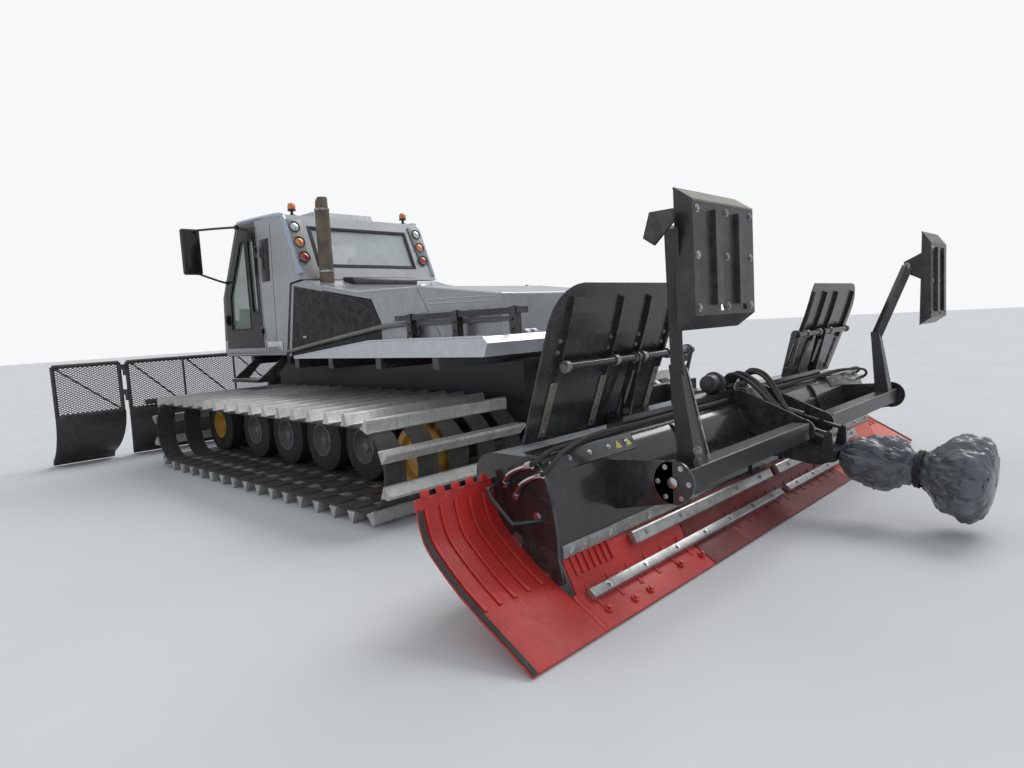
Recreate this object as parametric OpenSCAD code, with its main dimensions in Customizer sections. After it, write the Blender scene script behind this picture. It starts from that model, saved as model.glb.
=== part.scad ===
// Tracked snow grooming machine with a front blade and a rear tiller.
// Lengths along the machine are measured forward from the rear end of the tracks,
// and the whole model is then moved so that its origin is midway along it.

/* [Tracks] */
// Length over the grouser bars of a track
track_len = 4800; // [4600:10:5000]
// Half of the width over both tracks
track_out = 2100; // [2000:10:2200]
// Distance from the middle to the inner ends of the bars
track_in = 640; // [600:10:700]
// Height of a track over its bars
track_h = 850; // [800:10:900]
// Height of a grouser bar over its belt
bar_h = 90; // [60:5:100]
// Width of a grouser bar along the belt
bar_w = 100; // [70:2:120]
// Number of grouser bars on a track
bar_count = 38; // [30:1:46]
// Thickness of a belt
belt_t = 18; // [12:1:24]
// Width of a belt
belt_w = 190; // [150:5:220]
// Width of a running wheel
wheel_w = 200; // [160:5:240]
// Radius of the wheel rims
rim_r = 160; // [130:5:200]

/* [Chassis] */
// Half of the width of the tub between the tracks
tub_half = 500; // [440:10:560]
// Height of the tub's floor
tub_low = 330; // [300:10:380]
// Height of the tub's top edge
tub_top = 1150; // [1100:10:1190]
// Thickness of the tub's plates
plate_t = 20; // [12:1:30]
// Radius of an axle tube
axle_r = 50; // [40:2:60]

/* [Cab] */
// Half of the width of the cab
cab_half = 980; // [920:10:1020]
// Thickness of the cab's walls and doors
wall_t = 50; // [40:2:60]
// Height of the cab's lower edge
cab_low = 1265; // [1230:5:1280]
// Height of the roof at its front edge
roof_z = 2900; // [2850:5:2940]
// Thickness of the panes
glass_t = 8; // [6:1:12]
// Diameter of a round rear lamp
lamp_d = 130; // [110:2:150]

/* [Hood and deck] */
// Thickness of the hood's skin
skin_t = 14; // [10:1:20]
// Half of the width of the silver deck
deck_half = 1350; // [1300:10:1400]
// Height of the deck's top
deck_top = 1375; // [1365:1:1385]
// Thickness of the deck at its rear end
deck_t = 155; // [130:5:180]
// Height of the rails over the deck
rail_z = 1565; // [1540:5:1600]

/* [Blade] */
// Half of the width of the blade's middle part
blade_half = 2100; // [2000:10:2150]
// Length of a blade wing
wing_len = 780; // [700:10:820]
// Height of the blade over its mesh frames
blade_h = 1270; // [1200:10:1300]
// Radius of the curve of the blade's steel face
mould_r = 620; // [580:10:660]
// Thickness of the blade's steel face
mould_t = 16; // [12:1:24]
// Radius of the tubes round the mesh
frame_r = 24; // [18:1:30]

/* [Tiller] */
// Half of the width of the tiller's housing
till_half = 2400; // [2300:10:2500]
// Radius over the rotor's teeth
rotor_r = 255; // [235:5:258]
// Radius of the rotor's drum
drum_r = 130; // [110:5:160]
// Thickness of the tiller's housing
case_t = 12; // [8:1:14]
// Height of the rotor's axis
rotor_z = 350; // [340:5:360]
// Height of the housing's open lower edge
case_low = 295; // [285:5:305]
// Height of the housing's flat top
case_top = 790; // [770:5:800]
// Side of the square beams behind the housing
beam_s = 110; // [90:5:120]
// Width of a side mat
side_mat_w = 510; // [440:10:560]
// Thickness of the mats
mat_t = 14; // [10:1:18]
// Height of the axis that carries the flaps
flap_z = 1225; // [1210:5:1240]
// Thickness of a flap's sheet
flap_t = 8; // [6:1:10]
// Thickness of a track setter's pan
pan_t = 8; // [6:1:12]

/* [Hidden] */
$fn = 48;

// Track loop
end_r = track_h / 2;
belt_out = end_r - bar_h;
belt_in = belt_out - belt_t;
loop_z = end_r;
loop_rear = end_r;
loop_front = track_len - end_r;
straight = loop_front - loop_rear;
loop_len = 2 * straight + 2 * PI * belt_out;
belt_span = track_out - track_in;
belt_ys = [for (k = [0 : 4]) track_in + 115 + k * (belt_span - 230) / 4];
wheel_y = belt_ys[2];
wheel_r = belt_in - 0.5;
// Number of straight pieces that a belt's turn is made of, and the wheels that fit inside it
turn_steps = 10;
end_wheel_r = belt_in * cos(90 / turn_steps) - 0.5;
wheel_xs = [for (k = [0 : 3]) loop_rear + 860 + k * 720];
hub_r = 70;
engine_half = 370;
engine_low = 520;
engine_bay = [1150, 2800];

// Cab outline, as [along, height]
cab_rear_top = [3330, roof_z - 60];
cab_front_top = [4500, roof_z];
cab_nose = [5080, 2000];
cab_front_low = [5160, cab_low];
cab_rear_low = [3480, cab_low];
cab_waist = [3280, 2060];
cab_sill = [3030, 2080];
cab_outline = [cab_rear_top, cab_front_top, cab_nose, cab_front_low, cab_rear_low, cab_waist, cab_sill];
door_rear = 4020;
door_front = 5060;
door_hinge = [door_rear + 3, cab_half + 16];
door_hinge_z = [1440, 2420];

// Top of the cross bearers
bearer_z = deck_top - deck_t;

// Hood outline
deck_cut = 1240;
cowl_rear = 2700;
seam_gap = 6;
// Plan of the hood's side, as [along, half of the width]
hood_plan = [[3440, 975], [1900, 850], [60, 800]];
// Line where the rear cover meets the hood, and the cover's top and rear edge
seam_low = [869, deck_top + 0.3];
seam_top = [1176, 1856];
cover_top = [1100, 1855];
cover_rear = [84, 1720];
cover_hinge = [72, deck_top + 20];
// Outline of the black side panel, along its lower, front and upper edges
panel_low = bearer_z + 0.3;
panel_front = [[3396, panel_low], [3232, 2022]];
panel_rear = [[1890, 1774], [1756, 1536]];
stack_at = [2932, 700];
stack_r = 80;

// Blade
tub_front = track_len - 160;
push_x = tub_front + 80;
blade_reach = 920;
blade_x = push_x + blade_reach;
mould_z = 640;
push_z = 430;
link_z = 830;
carrier_x = blade_x - 240;
yaw_x = blade_x - 120;
wing_y = blade_half + 20;
wing_hinge_x = blade_x - 50;
wing_hinge_z = [760, 1080];
mesh_end = 36;
end_cut = 15;
// Lift cylinders, angle cylinders and rear lift cylinders, as the places of foot and rod's eye
lift_foot = [push_x, 200, 1060];
lift_eye = [blade_x - 400, 200, 610];
angle_foot = [blade_x - 200, 330, 630];
angle_eye = [blade_x - 70, 1000, 630];
rear_foot = [90, 200, 1060];
rear_eye = [-860, 200, 760];

// Length of the lift rods that shows, and what stays inside the barrel
lift_rod_out = 303;
lift_rod_in = 67;
rear_rod_out = 356;
rear_rod_in = 220;

// Tiller, with the arcs of its housing as places of their centres
rotor_x = -1527;
case_arc = [-703, 330];
case_arc_r = 1100;
case_corner_r = 120;
case_front = -1250;
function case_rear_at(z, r) = case_arc[0] - sqrt(r * r - (z - case_arc[1]) * (z - case_arc[1]));
rear_corner = [case_rear_at(case_top - case_corner_r, case_arc_r - case_corner_r), case_top - case_corner_r];
front_corner = [case_front - case_corner_r, case_top - case_corner_r];
ring_y = 1150;
middle_ring_y = 270;
plate_y = till_half + 0.3;
plate_out = plate_y + 20;
beam_x = -2150;
beam_z = 620;
beam_in = 230;
beam_out = till_half - 520;
bracket_t = 20;
lift_x = 60;
lift_z = 640;
swing_x = -1120;
frame_half = till_half - 810;
frame_x = [-1640, -1520];
frame_z = [case_top + 0.3, case_top + 90];
shaft_x = -1690;
flap_in = 1100;
flap_out = till_half - 100;
stand_ys = [900, 1500];
batten_ys = [flap_in + 50, 1430, 1710, flap_out - 150];

// Model's place along X
front_x = blade_x + 402;
rear_x = -3230;
x_shift = -(front_x + rear_x) / 2;

// Puts what is measured from the tracks' rear end into the model's frame
module place() {
    translate([x_shift, 0, 0]) children();
}

// Extrudes a profile drawn as [along, height] from one side to another
module slab(y0, y1) {
    translate([0, y1, 0]) rotate([90, 0, 0]) linear_extrude(y1 - y0) children();
}

// Round bar along X
module pin_x(x0, x1, y, z, r) {
    translate([x0, y, z]) rotate([0, 90, 0]) cylinder(h = x1 - x0, r = r);
}

// Extrudes a profile drawn as [across, height] from one place along the machine to another
module slab_x(x0, x1) {
    translate([x0, 0, 0]) rotate([90, 0, 90]) linear_extrude(x1 - x0) children();
}

// The same on both sides of the machine
module both() {
    for (side = [0, 1]) mirror([0, side, 0]) children();
}

// Box given by its lowest and highest corners
module box(low, high) {
    translate(low) cube(high - low);
}

// Round bar between two points
module bar(a, b, r) {
    d = b - a;
    n = norm(d);
    translate(a) rotate([0, acos(d[2] / n), atan2(d[1], d[0])]) cylinder(h = n, r = r);
}

// Round bar along Y
module pin(x, z, y0, y1, r) {
    translate([x, y0, z]) rotate([-90, 0, 0]) cylinder(h = y1 - y0, r = r);
}

// Direction from a to b, a line moved to its left by a distance, and the strip between the two
function unit(a, b) = (b - a) / norm(b - a);
function left_of(u) = [-u[1], u[0]];
function aside(line, d) = [for (k = [0 : len(line) - 1])
    let (last = len(line) - 1, u = k > 0 ? unit(line[k - 1], line[k]) : unit(line[0], line[1]),
        v = k < last ? unit(line[k], line[k + 1]) : u)
    line[k] + d * (left_of(u) + left_of(v)) / (1 + u * v)];
function strip(line, d) = let (moved = aside(line, d))
    concat(line, [for (k = [len(line) - 1 : -1 : 0]) moved[k]]);

// Square bar between two points
module strut(a, b, side) {
    d = b - a;
    n = norm(d);
    translate(a) rotate([0, acos(d[2] / n), atan2(d[1], d[0])]) translate([-side / 2, -side / 2, 0])
        cube([side, side, n]);
}

// Outline of the track loop at a distance from its wheel centres
function turn_at(k) = 180 * k / turn_steps;
function loop_points(r) = concat(
    [for (k = [0 : turn_steps]) [loop_front + r * sin(turn_at(k)), loop_z + r * cos(turn_at(k))]],
    [for (k = [0 : turn_steps]) [loop_rear - r * sin(turn_at(k)), loop_z - r * cos(turn_at(k))]]);

// Place of the bar whose distance along the loop is s, as [along, height, turn]
function bar_place(s) =
    s < straight ? [loop_rear + s, loop_z + belt_out, 0]
    : s < straight + PI * belt_out ? turn_place(loop_front, (s - straight) / belt_out * 180 / PI)
    : s < 2 * straight + PI * belt_out ? [loop_front - (s - straight - PI * belt_out), loop_z - belt_out, 180]
    : turn_place(loop_rear, (s - 2 * straight) / belt_out * 180 / PI);
function turn_place(x, a) = [x + belt_out * sin(a), loop_z + belt_out * cos(a), a];

module track() {
    for (y = belt_ys) slab(y - belt_w / 2, y + belt_w / 2) difference() {
        polygon(loop_points(belt_out));
        polygon(loop_points(belt_in));
    }
    for (k = [0 : bar_count - 1]) {
        p = bar_place((k + 0.5) * loop_len / bar_count);
        translate([p[0], 0, p[1]]) rotate([0, p[2], 0]) slab(track_in, track_out)
            polygon([[-bar_w / 2, -6], [bar_w / 2, -6], [bar_w / 2, 6], [12, bar_h], [-12, bar_h],
                [-bar_w / 2, 6]]);
    }
}
module left_track() { color("dimgray") place() track(); }
module right_track() { color("dimgray") place() mirror([0, 1, 0]) track(); }

// Tyred wheel with a dished rim, on the side of the given hand
module wheel(x, r) {
    translate([x, wheel_y, loop_z]) rotate([-90, 0, 0]) rotate_extrude() polygon([
        [0, -wheel_w / 2 + 30], [hub_r, -wheel_w / 2 + 30], [hub_r + 30, -30], [rim_r - 30, -30],
        [rim_r, -wheel_w / 2], [r - 25, -wheel_w / 2], [r, -wheel_w / 2 + 30], [r, wheel_w / 2 - 30],
        [r - 25, wheel_w / 2], [rim_r, wheel_w / 2], [rim_r - 30, 10], [hub_r + 30, 10],
        [hub_r, wheel_w / 2 - 40], [0, wheel_w / 2 - 40]]);
}
module wheels() {
    for (x = wheel_xs) wheel(x, wheel_r);
    wheel(loop_front, end_wheel_r);
    // Drive sprocket with its teeth between the belts
    translate([loop_rear, wheel_y, loop_z]) rotate([-90, 0, 0]) {
        difference() {
            cylinder(h = 360, r = end_wheel_r - 40, center = true);
            for (s = [-1, 1]) translate([0, 0, s * 120]) difference() {
                cylinder(h = 90, r = end_wheel_r, center = true);
                cylinder(h = 91, r = rim_r, center = true);
            }
        }
        for (k = [0 : 7]) rotate([0, 0, k * 45]) translate([end_wheel_r - 60, -30, -60]) cube([58, 60, 120]);
    }
}
module left_wheels() { color("black") place() wheels(); }
module right_wheels() { color("black") place() mirror([0, 1, 0]) wheels(); }

// Plate with a bore for a cross pin, between two sides
module ear(outline, x, z, y0, y1, r) {
    difference() {
        slab(y0, y1) polygon(outline);
        pin(x, z, y0 - 1, y1 + 1, r);
    }
}
module chassis() {
    color("#2b2d2f") place() {
        difference() {
            slab(-tub_half, tub_half) polygon([[150, tub_low + 160], [330, tub_low], [tub_front - 290, tub_low],
                [tub_front, tub_low + 60], [tub_front, tub_top], [150, tub_top]]);
            // Engine bay
            box([engine_bay[0], -tub_half + plate_t, tub_low + plate_t],
                [engine_bay[1], tub_half - plate_t, tub_top + 1]);
        }
        // Engine bearers
        for (s = [-1, 1]) box([engine_bay[0] - 1, s * 330 - 40, tub_low + plate_t - 1],
            [engine_bay[1] + 1, s * 330 + 40, engine_low - 0.3]);
        // Axle arms out to the wheels
        both() for (x = concat(wheel_xs, [loop_front])) pin(x, loop_z, tub_half - plate_t,
            wheel_y - wheel_w / 2 + 29.7, axle_r);
        both() pin(loop_rear, loop_z, tub_half - plate_t, wheel_y - 180.3, axle_r + 60);
        // Ears for the push frame, the top link and the lift cylinders, in front of the tub
        both() {
            ear([[tub_front - 10, 400], [push_x, push_z - 50], [push_x + 45, push_z], [push_x + 20, push_z + 45],
                [tub_front - 10, 620]], push_x, push_z, 260, 294, 25);
            ear([[tub_front - 10, 740], [push_x + 20, link_z - 40], [push_x + 40, link_z], [push_x + 20, link_z + 40],
                [tub_front - 10, 900]], push_x, link_z, 46, 66, 20.3);
            for (y = [150, 236]) ear([[tub_front - 10, 960], [push_x + 20, 1025], [push_x + 38, 1060],
                [push_x + 20, 1095], [tub_front - 10, 1140]], push_x, 1060, y, y + 14, 20.3);
            // Ears for the rear lift and its cylinders
            ear([[160, 560], [lift_x, lift_z - 50], [lift_x - 45, lift_z], [lift_x - 20, lift_z + 45],
                [160, 800]], lift_x, lift_z, 260, 294, 25);
            for (y = [150, 236]) ear([[160, 960], [rear_foot[0] - 20, 1025], [rear_foot[0] - 38, 1060],
                [rear_foot[0] - 20, 1095], [160, 1140]], rear_foot[0], 1060, y, y + 14, 20.3);
        }
        // Bearers under the hood, the deck and the cab
        difference() {
            for (x = [300, 1100, 1900, 2560]) box([x, -deck_half + 10, tub_top - 30],
                [x + 80, deck_half - 10, bearer_z]);
            box([1200, -engine_half - 15, tub_low], [2800, engine_half + 15, 1600]);
        }
        for (x = [2720, 3300]) box([x, -790, tub_top - 30], [x + 80, 790, bearer_z]);
        for (x = [3560, 4500]) box([x, -900, tub_top - 30], [x + 90, 900, cab_low]);
    }
}

module engine() {
    color("#6d7072") place() box([1250, -engine_half, engine_low], [cowl_rear, engine_half, 1560]);
}

// Outer face of the cab's front at a height
function front_at(z) = z > cab_nose[1]
    ? cab_nose[0] + (z - cab_nose[1]) * (cab_front_top[0] - cab_nose[0]) / (cab_front_top[1] - cab_nose[1])
    : cab_nose[0] + (z - cab_nose[1]) * (cab_front_low[0] - cab_nose[0]) / (cab_front_low[1] - cab_nose[1]);
// Outer face of the cab's rear, over the sill
function rear_at(z) = cab_sill[0]
    + (z - cab_sill[1]) * (cab_rear_top[0] - cab_sill[0]) / (cab_rear_top[1] - cab_sill[1]);
screen_z = [1700, roof_z - 200];
screen_y = cab_half - 110;
rear_pane_z = [2240, 2700];
rear_pane_y = 690;

module cab_shell() {
    color("silver") place() {
        difference() {
            slab(-cab_half, cab_half) polygon(cab_outline);
            slab(-cab_half + wall_t, cab_half - wall_t) polygon([
                cab_rear_top + [30, -wall_t], cab_front_top + [-30, -wall_t], cab_nose + [-wall_t, -15],
                cab_front_low + [-wall_t, wall_t], cab_rear_low + [wall_t, wall_t],
                cab_waist + [wall_t, 0], cab_sill + [90, wall_t]]);
            // Doorways
            for (s = [-1, 1]) slab(s * (cab_half - wall_t / 2) - wall_t, s * (cab_half - wall_t / 2) + wall_t)
                doorway();
            // Windscreen and rear window
            box([4300, -screen_y, 2100], [5500, screen_y, screen_z[1]]);
            box([4900, -screen_y, screen_z[0]], [5500, screen_y, 2101]);
            box([2900, -rear_pane_y, rear_pane_z[0]], [3500, rear_pane_y, rear_pane_z[1]]);
        }
        both() for (z = door_hinge_z) door_knuckle(z, -1);
        // Rim tubes along the lower edge
        both() pin_x(cab_rear_low[0] + 20, cab_front_low[0] - 20, cab_half - 22, cab_low - 18, 20);
    }
}

module cab_glass() {
    color("#a9b7bd") place() {
        slab(-screen_y + 0.3, screen_y - 0.3) polygon(concat(
            [for (z = [screen_z[1] - 0.3, 2000, screen_z[0] + 0.3]) [front_at(z) - 12, z]],
            [for (z = [screen_z[0] + 0.3, 2000, screen_z[1] - 0.3]) [front_at(z) - 12 - glass_t, z]]));
        slab(-rear_pane_y + 0.3, rear_pane_y - 0.3) polygon(concat(
            [for (z = [rear_pane_z[0] + 0.3, rear_pane_z[1] - 0.3]) [rear_at(z) + 12, z]],
            [for (z = [rear_pane_z[1] - 0.3, rear_pane_z[0] + 0.3]) [rear_at(z) + 12 + glass_t, z]]));
    }
}

// Half of a door hinge, on the cab's side (-1) or the door's side (1) of its axis
module door_knuckle(z, side) {
    translate([door_hinge[0], door_hinge[1], z]) cylinder(h = 60, r = 14);
    box([door_hinge[0] + min(0, side * 60), cab_half - 1, z], [door_hinge[0] + max(0, side * 60), cab_half + 8, z + 60]);
}

// Doorway and, with a gap all round, the door in it
module doorway() {
    polygon([[door_rear, 1330], [door_front + 20, 1330], [door_front - 70, 2030], [4475, roof_z - 95],
        [door_rear, roof_z - 110]]);
}
module door() {
    slab(cab_half - wall_t, cab_half) difference() {
        offset(delta = -6) doorway();
        door_windows();
    }
    for (z = door_hinge_z) door_knuckle(z + 60.3, 1);
    // Handle
    box([4960, cab_half, 1640], [4990, cab_half + 30, 1760]);
}
module door_windows() {
    polygon([[4330, 1560], [4900, 1560], [4870, 2000], [4440, 2670], [4330, 2665]]);
    polygon([[4100, 1760], [4250, 1760], [4250, 2665], [4100, 2660]]);
}
module door_glass() {
    slab(cab_half - 30, cab_half - 30 + glass_t) offset(delta = -0.3) door_windows();
}
module left_door() { color("#1b1c1e") place() door(); }
module right_door() { color("#1b1c1e") place() mirror([0, 1, 0]) door(); }
module left_door_glass() { color("#a9b7bd") place() door_glass(); }
module right_door_glass() { color("#a9b7bd") place() mirror([0, 1, 0]) door_glass(); }

module seats() {
    color("#2a2a2d") place() for (y = [-330, 400]) slab(y - 230, y + 230) polygon([[3750, cab_low + wall_t],
        [4100, cab_low + wall_t], [4120, 1660], [4220, 1680], [4230, 1800], [3850, 1790], [3720, 2420],
        [3620, 2420], [3720, 1640]]);
}

module console() {
    color("#303236") place() slab(-820, 820)
        polygon([[4700, cab_low + wall_t], [5080, cab_low + wall_t], [5050, 1650], [4980, 1850], [4820, 1830],
            [4760, 1600]]);
}

// Height of the roof's outer face along the cab
function roof_at(x) = cab_rear_top[1] + (x - cab_rear_top[0]) * (cab_front_top[1] - cab_rear_top[1])
    / (cab_front_top[0] - cab_rear_top[0]);
module roof_box() {
    color("whitesmoke") place() slab(-420, 420) polygon([[3560, roof_at(3560) + 0.3], [4120, roof_at(4120) + 0.3],
        [4090, roof_z + 50], [3590, roof_z + 50]]);
}

module beacons() {
    color("darkorange") place() both() translate([3420, 800, roof_at(3470) + 0.3]) {
        cylinder(h = 60, r = 48);
        translate([0, 0, 60]) cylinder(h = 90, r1 = 48, r2 = 38);
    }
}

module mirrors() {
    color("#1b1c1e") place() both() {
        box([4480, cab_half + 0.3, 2826], [4520, cab_half + 20, 2874]);
        bar([4500, cab_half + 12, 2850], [4900, 1400, 2835], 14);
        box([4902, cab_half + 0.3, 2172], [4936, cab_half + 16, 2206]);
        bar([4920, cab_half + 8, 2190], [4900, 1400, 2320], 14);
        box([4862, 1290, 2290], [4938, 1520, 2860]);
    }
}

// Side and height of each rear lamp
rear_lamp_at = [[875, 2690], [865, 2510], [855, 2335]];
rear_lean = atan((cab_rear_top[0] - cab_sill[0]) / (cab_rear_top[1] - cab_sill[1]));
module lamps() {
    color("firebrick") place() {
        both() for (p = rear_lamp_at) translate([rear_at(p[1]) - 0.4, p[0], p[1]])
            rotate([0, rear_lean - 90, 0]) cylinder(h = 30, r = lamp_d / 2);
        for (y = [-620, -320, 320, 620]) translate([4440, y, roof_z + 62.3]) rotate([0, 90, 0])
            cylinder(h = 90, r = 62);
    }
}

module exhaust() {
    color("#4a403a") place() {
        translate([stack_at[0], stack_at[1], 1850]) cylinder(h = 1000, r = stack_r);
        translate([stack_at[0], stack_at[1], 2850]) cylinder(h = 140, r = stack_r - 12);
    }
}

// Block under the plan of the hood, less an inset on each side
module in_plan(inset, z0, z1) {
    half = [for (p = hood_plan) [p[0], p[1] - inset]];
    translate([0, 0, z0]) linear_extrude(z1 - z0) polygon(concat(half,
        [for (k = [len(half) - 1 : -1 : 0]) [half[k][0], -half[k][1]]]));
}
// Skin of the hood's sides inside an outline, over the whole width
module side_skin(gap) {
    intersection() {
        slab(-1000, 1000) children();
        difference() {
            in_plan(0, 1000, 2200);
            in_plan(skin_t + gap, 999, 2201);
        }
    }
}
module skin_body(gap, outer, inner) {
    intersection() {
        slab(-1000, 1000) polygon(outer);
        in_plan(0, 1000, 2200);
        difference() {
            slab(-1001, 1001) polygon(outer);
            intersection() {
                slab(-1000, 1000) polygon(inner);
                in_plan(skin_t, 999, 2201);
            }
        }
    }
}

module cowl() {
    color("silver") place() difference() {
        skin_body(0, [[cowl_rear, panel_low], [3440, panel_low], [3270, 2045], [3010, 2068], [cowl_rear, 1985]],
            [[cowl_rear - 1, bearer_z - 1], [3400, bearer_z - 1], [3240, 2030], [3010, 2050], [cowl_rear - 1, 1970]]);
        // Room for the black side panels
        difference() {
            slab(-1001, 1001) polygon([[cowl_rear - 1, panel_low - 1], panel_front[0] + [0.3, -1],
                panel_front[1] + [0.3, 0.3], panel_front[1] + (panel_rear[0] - panel_front[1]) / 2 + [0, 0.3],
                [cowl_rear - 1, 1700]]);
            in_plan(skin_t + 0.3, 1000, 2200);
        }
        translate([stack_at[0], stack_at[1], 1900]) cylinder(h = 400, r = stack_r + 0.5);
    }
}

module hood() {
    seam = seam_top - seam_low;
    color("silver") place() skin_body(0,
        [seam_low, seam_top, [2100, 1875], [cowl_rear - seam_gap, 1983], [cowl_rear - seam_gap, 1930],
            panel_rear[0] + [-seam_gap, 9], panel_rear[1] + [-seam_gap, 6], [panel_rear[1][0] - seam_gap, panel_low],
            [deck_cut + seam_gap, panel_low], [deck_cut + seam_gap, deck_top + 0.3]],
        [seam_low - seam / 10 + [skin_t, 0], seam_top + [skin_t, -skin_t], [2100, 1875 - skin_t],
            [cowl_rear - 2 * skin_t, 1968], [cowl_rear - 2 * skin_t, 1100], [800, 1100]]);
}

// Half of the rear cover's hinge, with its leaf drawn from the axis
module cover_knuckle(y0, y1, leaf) {
    pin(cover_hinge[0], cover_hinge[1], y0, y1, 12);
    slab(y0, y1) polygon([for (p = leaf) cover_hinge + p]);
}
module rear_cover() {
    gap = [-seam_gap - 1, 0];
    color("silver") place() {
        skin_body(0, [[cover_rear[0], deck_top + 0.3], seam_low + gap, seam_top + gap, cover_top, cover_rear],
            [[cover_rear[0] + skin_t, deck_top - 1], seam_low + gap + [-skin_t, -1],
                seam_top + gap + [-2 * skin_t, -skin_t], cover_top + [0, -skin_t], cover_rear + [skin_t, -skin_t]]);
        both() cover_knuckle(450, 500, [[0, -12], [20, -12], [20, 12], [0, 12]]);
    }
}

module side_panels() {
    color("#1b1c1e") place() side_skin(0)
        polygon(concat([[panel_rear[1][0], panel_low]], panel_front, panel_rear));
}

// Places of the deck's bolt holes along it
deck_hole_xs = [-205, -5];
module deck() {
    color("silver") place() difference() {
        union() {
            slab(-deck_half, deck_half) polygon([[-240, bearer_z + 0.3], [2640, bearer_z + 0.3], [2640, 1240],
                [1250, deck_top], [-240, deck_top], [-290, deck_top - 50]]);
            both() for (y = [400, 500.3]) cover_knuckle(y, y + 49.7,
                [[-44, -21], [9, -21], [9, -14], [0, 12], [-10, 4], [-44, -14]]);
        }
        slab(-deck_half + 30, deck_half - 30) polygon([[-230, bearer_z - 1], [2600, bearer_z - 1],
            [2600, 1225], [1250, deck_top - 20], [-230, deck_top - 20]]);
        intersection() {
            box([deck_cut, -1000, 1200], [2700, 1000, 1500]);
            in_plan(-0.3, 1200, 1500);
        }
        for (x = deck_hole_xs) for (y = [-450, 450]) translate([x, y, 1200]) cylinder(h = 200, r = 8.5);
    }
}

module deck_rails() {
    color("#1b1c1e") place() both() {
        box([-290, 880, rail_z - 25], [1410, 930, rail_z + 25]);
        for (x = [-200, 500, 1150]) box([x, 870, deck_top + 0.3], [x + 70, 940, rail_z + 30]);
    }
}

module steps() {
    color("#1b1c1e") place() both() {
        for (x = [3700, 4380]) slab_x(x, x + 20) polygon([[750, cab_low - 0.3], [850, cab_low - 0.3],
            [1240, 965], [1240, 930], [1080, 930]]);
        box([3700, 1080, 930], [4400, 1260, 965]);
    }
}

// Point on the way from a to b, at a distance from a
function toward(a, b, d) = a + (b - a) * d / norm(b - a);

module push_frame() {
    color("#1b1c1e") place() {
        both() {
            slab(298, 360) polygon([[push_x - 55, push_z], [push_x, push_z - 55],
                [carrier_x - 60, push_z - 60], [carrier_x + 40, push_z - 50], [carrier_x + 40, push_z + 50],
                [carrier_x - 60, push_z + 70], [push_x, push_z + 55]]);
            // Hinge pins at the tub and at the carrier
            pin(push_x, push_z, 255, 300, 24.7);
            pin(carrier_x, push_z, 220, 300, 24.7);
            // Ears for the lift cylinders' rods
            for (y = [146, 240]) slab(y, y + 14) polygon([[lift_eye[0] - 30, push_z + 60],
                [lift_eye[0] - 36, lift_eye[2]], [lift_eye[0], lift_eye[2] + 36],
                [lift_eye[0] + 36, lift_eye[2]], [lift_eye[0] + 60, push_z + 60]]);
        }
        box([carrier_x - 220, -300, push_z - 60], [carrier_x - 90, 300, push_z + 70]);
    }
}

module top_link() {
    color("#1b1c1e") place() {
        for (x = [push_x, carrier_x]) {
            pin(x, link_z, -43, 43, 29);
            pin(x, link_z, -72, 72, 19.7);
        }
        box([push_x + 20, -30, link_z - 30], [carrier_x - 20, 30, link_z + 30]);
    }
}

module blade_carrier() {
    color("#1b1c1e") place() {
        difference() {
            union() {
                both() slab(225, 292) polygon([[carrier_x - 45, push_z], [carrier_x - 10, push_z - 48],
                    [carrier_x + 60, push_z - 48], [carrier_x + 60, 900], [carrier_x + 20, 900],
                    [carrier_x - 45, push_z + 50]]);
                box([carrier_x + 35, -292, 480], [carrier_x + 55, 292, 900]);
                both() slab(48, 68) polygon([[carrier_x + 50, 740], [carrier_x - 20, link_z - 40],
                    [carrier_x - 42, link_z], [carrier_x - 20, link_z + 40], [carrier_x + 50, 900]]);
                // Fork for the blade's upright pin
                for (z = [500, 750]) {
                    box([carrier_x + 50, -60, z], [yaw_x, 60, z + 40]);
                    translate([yaw_x, 0, z]) cylinder(h = 40, r = 60);
                }
                // Ears for the angle cylinders
                both() for (z = [590, 652]) box([carrier_x + 20, 225, z], [carrier_x + 75, 360, z + 16]);
            }
            pin(carrier_x, push_z, -300, 300, 25);
            pin(carrier_x, link_z, -80, 80, 20);
            both() translate([angle_foot[0], angle_foot[1], 580]) cylinder(h = 100, r = 12);
        }
        translate([yaw_x, 0, 500]) cylinder(h = 290, r = 30);
    }
}

module lift_barrels() { color("#1b1c1e") place() both() lift_barrel(); }
module foot_barrel(foot, eye, long) {
    difference() {
        union() {
            bar(toward(foot, eye, 58), toward(foot, eye, long), 46);
            bar(foot, toward(foot, eye, 60), 30);
            pin(foot[0], foot[2], 166, 234, 34);
            pin(foot[0], foot[2], 144, 256, 19.7);
        }
        bar(toward(foot, eye, 62), toward(foot, eye, long + 1), 26.6);
    }
}
module eye_rod(foot, eye, start) {
    bar(toward(foot, eye, start), toward(foot, eye, norm(eye - foot) - 20), 26);
    pin(eye[0], eye[2], 162, 238, 34);
}
module lift_barrel() {
    foot_barrel(lift_foot, lift_eye, norm(lift_eye - lift_foot) - lift_rod_out);
}
module lift_rods() { color("gainsboro") place() both() lift_rod(); }
module lift_rod() {
    eye_rod(lift_foot, lift_eye, norm(lift_eye - lift_foot) - lift_rod_out - lift_rod_in);
}

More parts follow.
